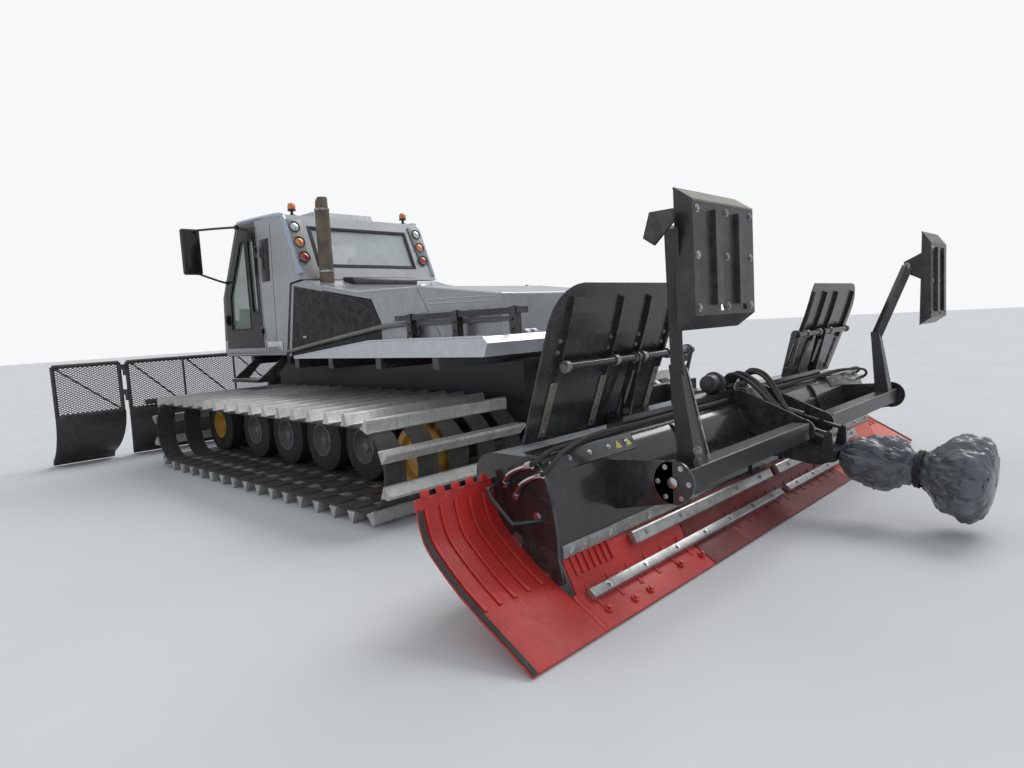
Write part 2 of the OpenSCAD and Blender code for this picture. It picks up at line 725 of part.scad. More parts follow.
module angle_barrel() {
    difference() {
        union() {
            bar(toward(angle_foot, angle_eye, 60), toward(angle_foot, angle_eye, 470), 34);
            bar(angle_foot, toward(angle_foot, angle_eye, 62), 18);
            translate([angle_foot[0], angle_foot[1], 609]) cylinder(h = 40, r = 24);
            translate([angle_foot[0], angle_foot[1], 588]) cylinder(h = 82, r = 11.7);
        }
        bar(toward(angle_foot, angle_eye, 64), toward(angle_foot, angle_eye, 471), 18.6);
    }
}
module angle_rod() {
    bar(toward(angle_foot, angle_eye, 360), toward(angle_foot, angle_eye, norm(angle_eye - angle_foot) - 12), 18);
    translate([angle_eye[0], angle_eye[1], 610]) cylinder(h = 38, r = 26);
}
module left_angle_barrel() { color("#1b1c1e") place() angle_barrel(); }
module right_angle_barrel() { color("#1b1c1e") place() mirror([0, 1, 0]) angle_barrel(); }
module left_angle_rod() { color("gainsboro") place() angle_rod(); }
module right_angle_rod() { color("gainsboro") place() mirror([0, 1, 0]) angle_rod(); }

// Steel face of the blade, with its ends cut back so that a wing can swing forward
module mould(y0, y1, cut0, cut1) {
    difference() {
        slab(y0, y1) {
            intersection() {
                translate([blade_x + mould_r, mould_z]) difference() {
                    circle(r = mould_r + mould_t, $fn = 64);
                    circle(r = mould_r, $fn = 64);
                }
                translate([blade_x - 50, 0]) square([420, mould_z]);
            }
            polygon([[blade_x + 335, 16], [blade_x + 402, 16], [blade_x + 372, 60], [blade_x + 318, 110],
                [blade_x + 300, 100]]);
        }
        if (cut0 > 0) translate([wing_hinge_x, y0, 0]) rotate([0, 0, -90 + cut0]) cube([500, 500, 700]);
        if (cut1 > 0) translate([wing_hinge_x, y1, 0]) rotate([0, 0, -cut1]) cube([500, 500, 700]);
    }
}

module mesh_panel(y0, y1, z0, z1) {
    bar([blade_x, y0, z1], [blade_x, y1, z1], frame_r);
    bar([blade_x, y0, z0], [blade_x, y1, z0], frame_r);
    bar([blade_x, y0, z0], [blade_x, y0, z1], frame_r);
    bar([blade_x, y1, z0], [blade_x, y1, z1], frame_r);
    box([blade_x - 4, y0, z0], [blade_x + 4, y1, z1]);
}

module blade_middle() {
    color("#1b1c1e") place() {
        mould(-blade_half, blade_half, end_cut, end_cut);
        mesh_panel(-blade_half + mesh_end, blade_half - mesh_end, mould_z, blade_h - frame_r);
        both() for (z = wing_hinge_z) mirror_at(blade_half + 10) wing_knuckle(z);
        // Hub that turns on the carrier's upright pin
        difference() {
            union() {
                translate([yaw_x, 0, 540.5]) cylinder(h = 209, r = 58);
                box([yaw_x, -58, 541], [blade_x + 2, 58, 749]);
            }
            translate([yaw_x, 0, 500]) cylinder(h = 300, r = 30.3);
        }
        // Box rib along the back
        for (s = [-1, 1]) slab(min(s * 50, s * 1900), max(s * 50, s * 1900))
            polygon([[blade_x - 60, 676], [blade_x + 2, 676], [blade_x + 2, 740], [blade_x - 60, 740]]);
        // Ears for the angle cylinders' rods
        both() for (z = [588, 654])
            box([angle_eye[0] - 26, angle_eye[1] - 40, z], [blade_x + 6, angle_eye[1] + 40, z + 16]);
    }
}

// Half of a wing hinge, on the wing's side of its axis
module wing_knuckle(z) {
    translate([wing_hinge_x, blade_half + 10, z]) {
        cylinder(h = 70, r = 22);
        linear_extrude(70) polygon([[-18, 12], [0, 22], [26, 54], [60, 54], [50, 30], [12, -14]]);
    }
}

// Mirrors across the upright plane at a distance from the middle
module mirror_at(y) {
    translate([0, y, 0]) mirror([0, 1, 0]) translate([0, -y, 0]) children();
}

module wing_solid() {
    for (z = wing_hinge_z) wing_knuckle(z + 70.3);
    mould(wing_y, wing_y + wing_len, end_cut, 0);
    mesh_panel(wing_y + mesh_end, wing_y + wing_len - frame_r, mould_z, blade_h - frame_r);
}
module left_wing() { color("#1b1c1e") place() wing_solid(); }
module right_wing() { color("#1b1c1e") place() mirror([0, 1, 0]) wing_solid(); }

module rear_lift() {
    color("#1b1c1e") place() {
        union() {
            union() {
                both() slab(298, 360) polygon([[lift_x + 55, lift_z], [lift_x, lift_z - 55],
                    [swing_x + 160, lift_z - 60], [swing_x + 160, lift_z + 60], [lift_x, lift_z + 55]]);
                box([swing_x + 100, -420, lift_z - 60], [swing_x + 170, 420, lift_z + 260]);
                for (z = [lift_z - 60, lift_z + 210]) {
                    box([swing_x, -80, z], [swing_x + 110, 80, z + 50]);
                    translate([swing_x, 0, z]) cylinder(h = 50, r = 80);
                }
                box([rear_eye[0] - 60, -360, lift_z - 50], [rear_eye[0] + 60, 360, lift_z + 50]);
                both() for (y = [146, 240]) slab(y, y + 14) polygon([[rear_eye[0] - 50, lift_z + 40],
                    [rear_eye[0] - 36, rear_eye[2]], [rear_eye[0], rear_eye[2] + 36],
                    [rear_eye[0] + 36, rear_eye[2]], [rear_eye[0] + 50, lift_z + 40]]);
            }
        }
        both() pin(lift_x, lift_z, 255, 300, 24.7);
        translate([swing_x, 0, lift_z - 60]) cylinder(h = 320, r = 36);
    }
}

module rear_barrels() { color("#1b1c1e") place() both() rear_barrel(); }
module rear_barrel() {
    foot_barrel(rear_foot, rear_eye, norm(rear_eye - rear_foot) - rear_rod_out);
}
module rear_rods() { color("gainsboro") place() both() rear_rod(); }
module rear_rod() {
    eye_rod(rear_foot, rear_eye, norm(rear_eye - rear_foot) - rear_rod_out - rear_rod_in);
}

// Points of an arc from one angle to another, without its first point
function arc(centre, r, a0, a1, steps) = [for (k = [1 : steps])
    let (a = a0 + (a1 - a0) * k / steps) centre + r * [cos(a), sin(a)]];
// Outline of the housing, set in from its outer face and open below: rear wall, top and front wall
function case_points(inset, low) = let (r = case_corner_r - inset, rear = case_arc_r - inset,
        low_turn = 180 - asin((low - case_arc[1]) / rear),
        top_turn = atan2(rear_corner[1] - case_arc[1], rear_corner[0] - case_arc[0]))
    concat([[case_rear_at(low, rear), low]], arc(case_arc, rear, low_turn, top_turn, 8),
        arc(rear_corner, r, top_turn, 90, 6), [front_corner + [0, r]], arc(front_corner, r, 90, 0, 8),
        [[front_corner[0] + r, low]]);
module case_form(inset, low) {
    polygon(case_points(inset, low));
}
// Ring between two insets of the housing's outline, behind its top
module rear_ring(out, y0, y1, z0, z1) {
    slab(y0, y1) intersection() {
        difference() {
            case_form(-out, case_low);
            case_form(case_t / 2, case_low - 9);
        }
        translate([case_arc[0] - case_arc_r - 60, z0]) square([frame_x[0] - 20 - case_arc[0] + case_arc_r + 60, z1 - z0]);
    }
}

// Upright pin's hub, cross box, stands and the tongue behind the tiller
module tiller_frame() {
    color("#1b1c1e") place() {
        difference() {
            union() {
                translate([swing_x, 0, lift_z - 9.5]) cylinder(h = 219, r = 78);
                slab(-120, 120) polygon([[swing_x, lift_z - 9], [swing_x, lift_z + 209], [swing_x - 100, lift_z + 209],
                    [frame_x[1] - 1, frame_z[1]], [frame_x[1] - 1, frame_z[0]], [case_front - 50, frame_z[0]],
                    [case_front + 15, 700], [case_front + 15, lift_z - 9]]);
            }
            translate([swing_x, 0, lift_z - 80]) cylinder(h = 400, r = 36.3);
        }
        box([frame_x[0], -frame_half, frame_z[0]], [frame_x[1], frame_half, frame_z[1]]);
        difference() {
            union() {
                // Tongue and the plates that carry the beams' inner ends
                slab(-110, 110) polygon([[frame_x[1], frame_z[0]], [frame_x[1], frame_z[1]], [-1700, frame_z[1]],
                    [-1830, 760], [-1900, 600], [-2100, 545], [-2334, 470], [-2327, 400], [-2200, 365],
                    [-1950, 400], [-1800, 400], [-1700, 600], [-1600, frame_z[0]]]);
                both() slab(beam_in - 30 - bracket_t, beam_in - 30) union() {
                    polygon([[frame_x[1], frame_z[0]], [frame_x[1], frame_z[1]], [-1720, frame_z[1]],
                        [beam_x - 20, beam_z + 72], [beam_x - 20, beam_z - 72], [-1850, beam_z - 60], [-1700, 600]]);
                    translate([beam_x, beam_z]) circle(r = 78);
                }
                // Cylinders over the tongue, with the plates that hold their rods
                both() {
                    bar([-1740, 140, 745], [-2030, 140, 667], 32);
                    bar([-2020, 140, 670], [-2300, 140, 594], 13);
                    slab(128, 152) polygon([[-2325, 440], [-2325, 600], [-2300, 618], [-2275, 600], [-2240, 440]]);
                }
                box([-2325, -152, 430], [-2240, 152, 476]);
            }
            slab(-400, 400) case_form(-0.3, case_low);
            pin(beam_x, beam_z, -400, 400, 30.3);
        }
        // Slotted stands for the flaps' shafts
        both() for (y = stand_ys) slab(y, y + 16) difference() {
            union() {
                polygon([[frame_x[0] + 5, frame_z[1] - 1], [frame_x[1] - 40, frame_z[1] - 1], [shaft_x + 40, flap_z],
                    [shaft_x - 40, flap_z]]);
                translate([shaft_x, flap_z]) circle(r = 40);
            }
            translate([shaft_x, flap_z]) circle(r = 22.3);
            polygon([[frame_x[0] + 24, 950], [frame_x[0] + 44, 950], [shaft_x + 22, flap_z - 70], [shaft_x - 2, flap_z - 70]]);
        }
    }
}

module tiller_case() {
    color("#1b1c1e") place() {
        slab(-till_half, till_half) difference() {
            case_form(0, case_low);
            case_form(case_t, case_low - 9);
        }
        // Flanges, the low strip and the channel along the top edge
        both() {
            for (y = [middle_ring_y, ring_y]) rear_ring(18, y - 6, y + 6, case_low, case_top - 30);
            rear_ring(10, ring_y + 20, till_half - 10, case_low, case_low + 67);
            slab(frame_half + 10, till_half) difference() {
                polygon([[-1600, case_top - 8], [-1600, case_top + 10], [-1690, case_top + 10], [-1740, case_top - 77],
                    [-1732, case_top - 92], [-1700, case_top - 80]]);
                case_form(case_t / 2, case_low);
            }
            // Plates that carry the beams' outer ends
            slab(beam_out + 10, beam_out + 10 + bracket_t) difference() {
                union() {
                    translate([beam_x, beam_z]) circle(r = 115);
                    polygon([[case_rear_at(700, case_arc_r) + 10, 700], [beam_x, beam_z + 115], [beam_x, beam_z - 115],
                        [case_rear_at(430, case_arc_r) + 10, 430]]);
                }
                case_form(case_t / 2, case_low);
                translate([beam_x, beam_z]) circle(r = 30.3);
            }
        }
    }
}

teeth = 24;
module rotor() {
    color("#565a5c") place() {
        pin(rotor_x, rotor_z, -till_half + 6, till_half - 6, drum_r);
        pin(rotor_x, rotor_z, -till_half - 14, till_half + 14, 40);
        for (k = [0 : teeth - 1]) translate([rotor_x, -till_half + 110 + k * (2 * till_half - 220) / (teeth - 1), rotor_z])
            rotate([0, k * 50, 0]) for (a = [0, 180]) rotate([0, a, 0])
                translate([-20, -12, drum_r - 10]) cube([40, 24, rotor_r - drum_r + 10]);
    }
}

// Plates that close the housing's ends, with the guard bars on their outer side
guard = [[-1420, -10, 640], [-1480, 140, 640], [-1510, 140, 590], [-1640, 140, 490], [-1700, -10, 480]];
module end_plates() {
    color("#1b1c1e") place() both() {
        slab(plate_y, plate_out) difference() {
            polygon(concat(case_points(0, case_low), [[-1262, 200], [-1400, 110], [-1700, 110], [-1830, 180]]));
            translate([rotor_x, rotor_z]) circle(r = 40.5);
        }
        translate([0, plate_out, 0]) {
            for (k = [0 : 3]) bar(guard[k], guard[k + 1], 11);
            for (k = [1 : 3]) translate(guard[k]) sphere(r = 13);
        }
    }
}

// Upper face of the finisher mat, down from the housing's lower edge to the mat's end
mat_line = [[case_rear_at(case_low, case_arc_r), case_low - 0.3], [-1850, 205], [-1888, 126], [-2075, 16]];
// Place on a stretch of the mat, at a distance along it and over it
function on_mat(k, s, h) = let (u = unit(mat_line[k], mat_line[k + 1])) mat_line[k] + s * u - h * left_of(u);
module finisher_mat() {
    crease = strip([mat_line[1], mat_line[2], mat_line[3]], mat_t);
    color("firebrick") place() {
        slab(-till_half + 10, till_half - 10) polygon(strip(mat_line, mat_t));
        slab(-plate_out + 0.3, plate_out - 0.3) polygon([mat_line[2], mat_line[3], crease[3], crease[4]]);
    }
}

module finisher_rails() {
    color("gainsboro") place() both() {
        slab(60, till_half - 60) polygon([on_mat(2, 6, 0.3), on_mat(2, 62, 0.3), on_mat(2, 62, 40), on_mat(2, 10, 44)]);
        slab(60, till_half - 550) polygon([on_mat(0, 14, 0.3), on_mat(0, 88, 0.3), on_mat(0, 88, 44), on_mat(0, 18, 44)]);
    }
}

// Upper face of a side mat, from its curled front to its rear edge
side_line = [[-1365, 655], [-1385, 540], [-1415, 455], [-1480, 385], [-1560, 320], [-1650, 255], [-1760, 190],
    [-1885, 122], mat_line[3]];
module side_mats() {
    color("firebrick") place() both() slab(plate_out + 0.3, plate_out + 0.3 + side_mat_w)
        polygon(strip(side_line, mat_t));
}

// Rear face of a flap, from its lower edge up
flap_line = [[-1476, 815], [-1691, 1380], [-1730, 1500], [-1752, 1580], [-1780, 1650]];
function flap_at(z) = flap_line[0] + (flap_line[1] - flap_line[0]) * (z - flap_line[0][1]) / (flap_line[1][1] - flap_line[0][1]);
module flap() {
    intersection() {
        slab(flap_in, flap_out) polygon(strip(flap_line, -flap_t));
        // Outline seen from behind, with its outer top corner rounded
        slab_x(-1900, -1400) union() {
            polygon([[flap_in, 800], [flap_out - 20, 800], [flap_out, 1420], [flap_out - 230, 1420],
                [flap_out - 230, 1660], [flap_in + 20, 1660]]);
            translate([flap_out - 230, 1420]) circle(r = 230);
        }
    }
    pin(shaft_x, flap_z, stand_ys[0] - 50, flap_out - 140, 22);
    for (y = batten_ys) {
        slab(y - 10, y + 10) polygon(strip([flap_at(1150), flap_line[1], flap_line[2], flap_line[3]], 24));
        slab(y - 12, y + 12) union() {
            translate([shaft_x, flap_z]) circle(r = 30);
            polygon([[shaft_x, flap_z - 29], flap_at(flap_z - 29) + [4, 0], flap_at(flap_z + 29) + [4, 0],
                [shaft_x, flap_z + 29]]);
        }
    }
}
module left_flap() { color("#1b1c1e") place() flap(); }
module right_flap() { color("#1b1c1e") place() mirror([0, 1, 0]) flap(); }

// Beam with the arm of a track setter, up to the place where its pan sits
module setter_arm(top) {
    box([beam_x - beam_s / 2, beam_in, beam_z - beam_s / 2], [beam_x + beam_s / 2, beam_out, beam_z + beam_s / 2]);
    pin(beam_x, beam_z, beam_in - 30 - bracket_t - 2, beam_out + 10 + bracket_t + 2, 30);
    intersection() {
        slab(1600, 1780) polygon([[beam_x - 55, beam_z + 20], [beam_x + 55, beam_z + 20], [beam_x + 103, 1200],
            [beam_x + 38, 1200]]);
        slab_x(beam_x - 100, beam_x + 150) polygon([[1625, beam_z + 20], [1755, beam_z + 20], [1742, 1200], [1678, 1200]]);
    }
    strut([beam_x + 70, 1710, 1150], top, 65);
}
// Bent pan with side walls, ridges on its rear face and slots near its lower edge
module pan(line, y0, y1, ridges) {
    difference() {
        slab(y0, y1) polygon(strip(line, pan_t));
        for (y = ridges) slab_x(line[1][0] - 1, line[1][0] + 60)
            polygon([[y - 60, line[2][1] + 20], [y - 10, line[2][1] + 20], [y - 10, line[2][1] + 110]]);
    }
    for (y = [y0, y1 - pan_t]) slab(y, y + pan_t) polygon(line);
    for (y = ridges) box([line[1][0] - 25, y, line[2][1] + 50], [line[1][0] + 1, y + 70, line[1][1] - 40]);
}
module left_setter() {
    color("#1b1c1e") place() {
        setter_arm([-2200, 1930, 1880]);
        pan([[-2200, 2070], [-2300, 2000], [-2300, 1450], [-2200, 1380]], 1250, 1900, [1400, 1650]);
        // Toothed bracket outside the pan
        slab(1960, 1976) polygon([[-2240, 1960], [-2240, 1900], [-2130, 1800], [-2070, 1840], [-2110, 1960]]);
    }
}
module right_setter() {
    color("#1b1c1e") place() mirror([0, 1, 0]) {
        setter_arm([-2280, 1930, 1760]);
        pan([[-2390, 2050], [-2460, 1950], [-2460, 1300], [-2370, 1240]], 1930, 2500, [2060, 2290]);
        slab(1930, 1942) polygon([[-2455, 1600], [-2455, 1900], [-2250, 1800], [-2250, 1710]]);
        // Hook on the pan's far side
        slab(2494, 2508) polygon([[-2440, 1700], [-2440, 1800], [-2330, 1850], [-2330, 1790]]);
    }
}

// Outline of the tied sheet over the coupling, as [radius, distance] along its sloping axis
cover_slope = 5.7;
cover_form = [[120, 0], [190, 150], [215, 300], [150, 420], [118, 480], [170, 540], [285, 650], [305, 776],
    [250, 852], [120, 892]];
module coupling_cover() {
    color("slategray") place() translate([-2330.3, 0, 430]) rotate([0, -90 - cover_slope, 0]) rotate_extrude()
        polygon(concat([[0, 0]], cover_form, [[0, cover_form[9][1]]]));
}

chassis();
engine();
left_track();
right_track();
left_wheels();
right_wheels();
cab_shell();
cab_glass();
seats();
console();
roof_box();
beacons();
mirrors();
lamps();
exhaust();
cowl();
hood();
rear_cover();
side_panels();
deck();
deck_rails();
steps();
left_door();
right_door();
left_door_glass();
right_door_glass();
push_frame();
top_link();
blade_carrier();
lift_barrels();
lift_rods();
left_angle_barrel();
right_angle_barrel();
left_angle_rod();
right_angle_rod();
blade_middle();
left_wing();
right_wing();
rear_lift();
rear_barrels();
rear_rods();
tiller_frame();
tiller_case();
rotor();
end_plates();
finisher_mat();
finisher_rails();
side_mats();
left_flap();
right_flap();
left_setter();
right_setter();
coupling_cover();
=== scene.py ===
import math

import bpy
from mathutils import Matrix, Vector
from mathutils import noise as noise_of


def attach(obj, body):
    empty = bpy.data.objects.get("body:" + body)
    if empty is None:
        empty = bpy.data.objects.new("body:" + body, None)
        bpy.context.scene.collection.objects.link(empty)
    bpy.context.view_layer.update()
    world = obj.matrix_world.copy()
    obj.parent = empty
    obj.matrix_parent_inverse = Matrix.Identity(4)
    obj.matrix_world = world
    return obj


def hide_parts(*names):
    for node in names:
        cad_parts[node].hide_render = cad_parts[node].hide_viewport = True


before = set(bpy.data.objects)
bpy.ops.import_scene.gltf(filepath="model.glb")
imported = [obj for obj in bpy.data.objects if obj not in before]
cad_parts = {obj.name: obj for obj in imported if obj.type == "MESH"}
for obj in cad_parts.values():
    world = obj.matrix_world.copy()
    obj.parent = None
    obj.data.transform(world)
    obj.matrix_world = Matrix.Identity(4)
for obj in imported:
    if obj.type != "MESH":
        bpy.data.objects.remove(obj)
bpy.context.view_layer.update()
SHIFT = -1.406

# Camera, from the photograph's vanishing points: its place, and its ways right, down and ahead
CAMERA_AT, CAMERA_LENS = (-5.3069, 4.8393, 1.4729), 23.64
CAMERA_RIGHT = Vector((-0.72056, -0.69102, -0.05734))
CAMERA_DOWN = Vector((-0.02257, 0.10603, -0.99411))
CAMERA_AHEAD = Vector((0.69303, -0.71501, -0.09200))
camera_data = bpy.data.cameras.new("camera")
camera_data.sensor_width = 36.0
camera_data.lens = CAMERA_LENS
camera = bpy.data.objects.new("camera", camera_data)
bpy.context.scene.collection.objects.link(camera)
camera_turn = Matrix((CAMERA_RIGHT, -CAMERA_DOWN, -CAMERA_AHEAD)).transposed().to_4x4()
camera.matrix_world = Matrix.Translation(CAMERA_AT) @ camera_turn
bpy.context.scene.camera = camera
bpy.context.scene.view_settings.view_transform = "Standard"

# Pale world: one light for the object, and a lighter one behind it for the camera
world = bpy.data.worlds.new("studio")
bpy.context.scene.world = world
world.use_nodes = True
wt = world.node_tree
wt.nodes.clear()
w_out, w_mix, w_sky, w_seen, w_path = (wt.nodes.new("ShaderNode" + kind) for kind in (
    "OutputWorld", "MixShader", "Background", "Background", "LightPath"))
w_sky.inputs["Color"].default_value = (0.86, 0.90, 0.95, 1)
w_sky.inputs["Strength"].default_value = 0.75
w_seen.inputs["Color"].default_value = (0.93, 0.94, 0.95, 1)
for source, socket in ((w_path.outputs["Is Camera Ray"], w_mix.inputs["Fac"]),
                       (w_sky.outputs["Background"], w_mix.inputs[1]),
                       (w_seen.outputs["Background"], w_mix.inputs[2]),
                       (w_mix.outputs["Shader"], w_out.inputs["Surface"])):
    wt.links.new(source, socket)

sun_data = bpy.data.lights.new("sky_light", "SUN")
sun_data.energy = 1.5
sun_data.angle = math.radians(35)
sun = bpy.data.objects.new("sky_light", sun_data)
bpy.context.scene.collection.objects.link(sun)
sun.rotation_euler = (math.radians(38), math.radians(-18), math.radians(15))


# Shader node groups
def new_group(name, ins, outs):
    """A shader node group with named inputs and outputs: (name, type, default)."""
    g = bpy.data.node_groups.new(name, "ShaderNodeTree")
    for label, kind, value in ins:
        s = g.interface.new_socket(label, in_out="INPUT", socket_type="NodeSocket" + kind)
        if value is not None:
            s.default_value = value
    for label, kind in outs:
        g.interface.new_socket(label, in_out="OUTPUT", socket_type="NodeSocket" + kind)
    return g, g.nodes.new("NodeGroupInput"), g.nodes.new("NodeGroupOutput")


def feed(tree, socket, value):
    """Links an output to a socket, or sets the socket to a plain value."""
    if isinstance(value, bpy.types.NodeSocket):
        tree.links.new(value, socket)
    else:
        socket.default_value = value


def noise(tree, vector, scale, detail=4.0, rough=0.55):
    n = tree.nodes.new("ShaderNodeTexNoise")
    for name, value in (("Vector", vector), ("Scale", scale), ("Detail", detail), ("Roughness", rough)):
        feed(tree, n.inputs[name], value)
    return n.outputs["Fac"]


def between(tree, value, low, high, out_low=0.0, out_high=1.0):
    """Clamped map of a value between two levels."""
    m = tree.nodes.new("ShaderNodeMapRange")
    for name, v in (("Value", value), ("From Min", low), ("From Max", high), ("To Min", out_low),
                    ("To Max", out_high)):
        feed(tree, m.inputs[name], v)
    return m.outputs["Result"]


def calc(tree, how, a, b):
    m = tree.nodes.new("ShaderNodeMath")
    m.operation = how
    m.use_clamp = how != "SUBTRACT"
    feed(tree, m.inputs[0], a)
    feed(tree, m.inputs[1], b)
    return m.outputs[0]


def mix_colour(tree, mask, a, b):
    m = tree.nodes.new("ShaderNodeMix")
    m.data_type = "RGBA"
    feed(tree, m.inputs[0], mask)
    for socket, v in ((m.inputs[6], a), (m.inputs[7], b)):
        feed(tree, socket, (*v, 1) if isinstance(v, tuple) else v)
    return m.outputs[2]


def stretched(tree, vector, x, y, z):
    m = tree.nodes.new("ShaderNodeMapping")
    m.inputs["Scale"].default_value = (x, y, z)
    tree.links.new(vector, m.inputs["Vector"])
    return m.outputs["Vector"]


def make_grime():
    """Dust that lies on upward faces, dried splashes and runs down upright faces."""
    g, i, o = new_group("grime", [("Vector", "Vector", None), ("Dust", "Float", 0.4),
                                  ("Runs", "Float", 0.3)],
                        [("Dust", "Float"), ("Runs", "Float"), ("Fine", "Float")])
    where = i.outputs["Vector"]
    up = g.nodes.new("ShaderNodeSeparateXYZ")
    g.links.new(g.nodes.new("ShaderNodeNewGeometry").outputs["Normal"], up.inputs[0])
    facing = between(g, up.outputs["Z"], 0.2, 0.95)
    broad = between(g, noise(g, where, 1.7), 0.35, 0.7)
    speck = between(g, noise(g, where, 22.0, 8.0, 0.75), 0.52, 0.72)
    lying = calc(g, "ADD", calc(g, "MULTIPLY", broad, 0.6), calc(g, "MULTIPLY", speck, 0.7))
    lying = calc(g, "MULTIPLY", facing, lying)
    g.links.new(calc(g, "MULTIPLY", lying, i.outputs["Dust"]), o.inputs["Dust"])
    runs = noise(g, stretched(g, where, 26.0, 26.0, 1.3), 1.0, 3.0, 0.6)
    runs = calc(g, "MULTIPLY", between(g, runs, 0.52, 0.72), between(g, up.outputs["Z"], 0.75, 0.2))
    g.links.new(calc(g, "MULTIPLY", runs, i.outputs["Runs"]), o.inputs["Runs"])
    g.links.new(noise(g, where, 95.0, 6.0, 0.7), o.inputs["Fine"])
    return g


def make_wear():
    """Rubbed edges, and long thin scratches that run along X."""
    g, i, o = new_group("wear", [("Vector", "Vector", None), ("Edges", "Float", 0.5),
                                 ("Scratches", "Float", 0.3)],
                        [("Mask", "Float")])
    where = i.outputs["Vector"]
    edge = between(g, g.nodes.new("ShaderNodeNewGeometry").outputs["Pointiness"], 0.52, 0.60)
    patch = between(g, noise(g, where, 14.0, 6.0, 0.7), 0.4, 0.62)
    edges = calc(g, "MULTIPLY", calc(g, "MULTIPLY", edge, patch), i.outputs["Edges"])
    long_way = noise(g, stretched(g, where, 3.0, 90.0, 60.0), 1.0, 2.0, 0.5)
    marks = calc(g, "MULTIPLY", between(g, long_way, 0.64, 0.70), i.outputs["Scratches"])
    g.links.new(calc(g, "MAXIMUM", edges, marks), o.inputs["Mask"])
    return g


GRIME = make_grime()
WEAR = make_wear()
MUD = (0.20, 0.165, 0.125)


def new_material(name):
    """Material with its tree, its Principled node and its Object coordinates."""
    m = bpy.data.materials.new(name)
    m.use_nodes = True
    t = m.node_tree
    return m, t, t.nodes["Principled BSDF"], t.nodes.new("ShaderNodeTexCoord").outputs["Object"]


def grouped(tree, group, values):
    n = tree.nodes.new("ShaderNodeGroup")
    n.node_tree = group
    for name, value in values:
        feed(tree, n.inputs[name], value)
    return n.outputs


def surface(name, colour, second=None, rough=0.4, metal=0.0, coat=0.0, dust=0.35, runs=0.2, edges=0.3,
            scratches=0.2, bare=(0.35, 0.35, 0.36), grain=0.05, patch_scale=3.0, mud=MUD, coat_rough=0.1,
            specular=0.5):
    """Principled material: a varied base colour, grime on it, wear through it and a fine grain."""
    m, t, p, where = new_material(name)
    dirt = grouped(t, GRIME, (("Vector", where), ("Dust", dust), ("Runs", runs)))
    worn = grouped(t, WEAR, (("Vector", where), ("Edges", edges), ("Scratches", scratches)))
    patch = between(t, noise(t, where, patch_scale, 5.0, 0.6), 0.3, 0.7)
    base = mix_colour(t, patch, colour, second or tuple(c * 0.82 for c in colour))
    for mask, over in ((worn["Mask"], bare), (dirt["Runs"], mud), (dirt["Dust"], mud)):
        base = mix_colour(t, mask, base, over)
    shine = calc(t, "ADD", between(t, dirt["Fine"], 0.3, 0.7, rough - 0.06, rough + 0.08),
                 calc(t, "MULTIPLY", calc(t, "ADD", dirt["Dust"], dirt["Runs"]), 0.5))
    if metal > 0:
        metal = calc(t, "SUBTRACT", metal, calc(t, "MULTIPLY", dirt["Dust"], metal))
    bump = t.nodes.new("ShaderNodeBump")
    bump.inputs["Strength"].default_value = grain
    bump.inputs["Distance"].default_value = 0.002
    t.links.new(dirt["Fine"], bump.inputs["Height"])
    for socket, value in (("Base Color", base), ("Roughness", shine), ("Metallic", metal),
                          ("Coat Weight", coat), ("Specular IOR Level", specular),
                          ("Coat Roughness", coat_rough), ("Normal", bump.outputs["Normal"])):
        feed(t, p.inputs[socket], value)
    return m


def clear_glass(name, tint, rough, alpha):
    """Pane with a faint, uneven film on it."""
    m, t, p, where = new_material(name)
    film = between(t, noise(t, where, 2.4, 6.0, 0.65), 0.35, 0.75)
    pale = tuple(min(1, c * 1.12) for c in tint)
    t.links.new(mix_colour(t, film, tint, pale), p.inputs["Base Color"])
    t.links.new(between(t, noise(t, where, 9.0), 0.3, 0.8, rough, rough + 0.12), p.inputs["Roughness"])
    t.links.new(between(t, film, 0.0, 1.0, alpha, alpha + 0.15), p.inputs["Alpha"])
    return m


def black_round_doors(material):
    """Paints a material black forward of the doors' rear edges, between the sill and the roof's edge."""
    door_rear, sill_top, roof_edge, blend = 4.008 + SHIFT, 1.436, 2.862, 0.002
    t = material.node_tree
    p = t.nodes["Principled BSDF"]
    place = t.nodes.new("ShaderNodeSeparateXYZ")
    t.links.new(t.nodes.new("ShaderNodeTexCoord").outputs["Object"], place.inputs[0])
    band = calc(t, "MULTIPLY", between(t, place.outputs["Z"], sill_top, sill_top + blend),
                between(t, place.outputs["Z"], roof_edge, roof_edge + blend, 1.0, 0.0))
    mask = calc(t, "MULTIPLY", between(t, place.outputs["X"], door_rear, door_rear + blend), band)
    base, metal = (p.inputs[k].links[0].from_socket for k in ("Base Color", "Metallic"))
    t.links.new(mix_colour(t, mask, base, (0.006, 0.006, 0.007)), p.inputs["Base Color"])
    t.links.new(calc(t, "MULTIPLY", metal, calc(t, "SUBTRACT", 1.0, mask)), p.inputs["Metallic"])


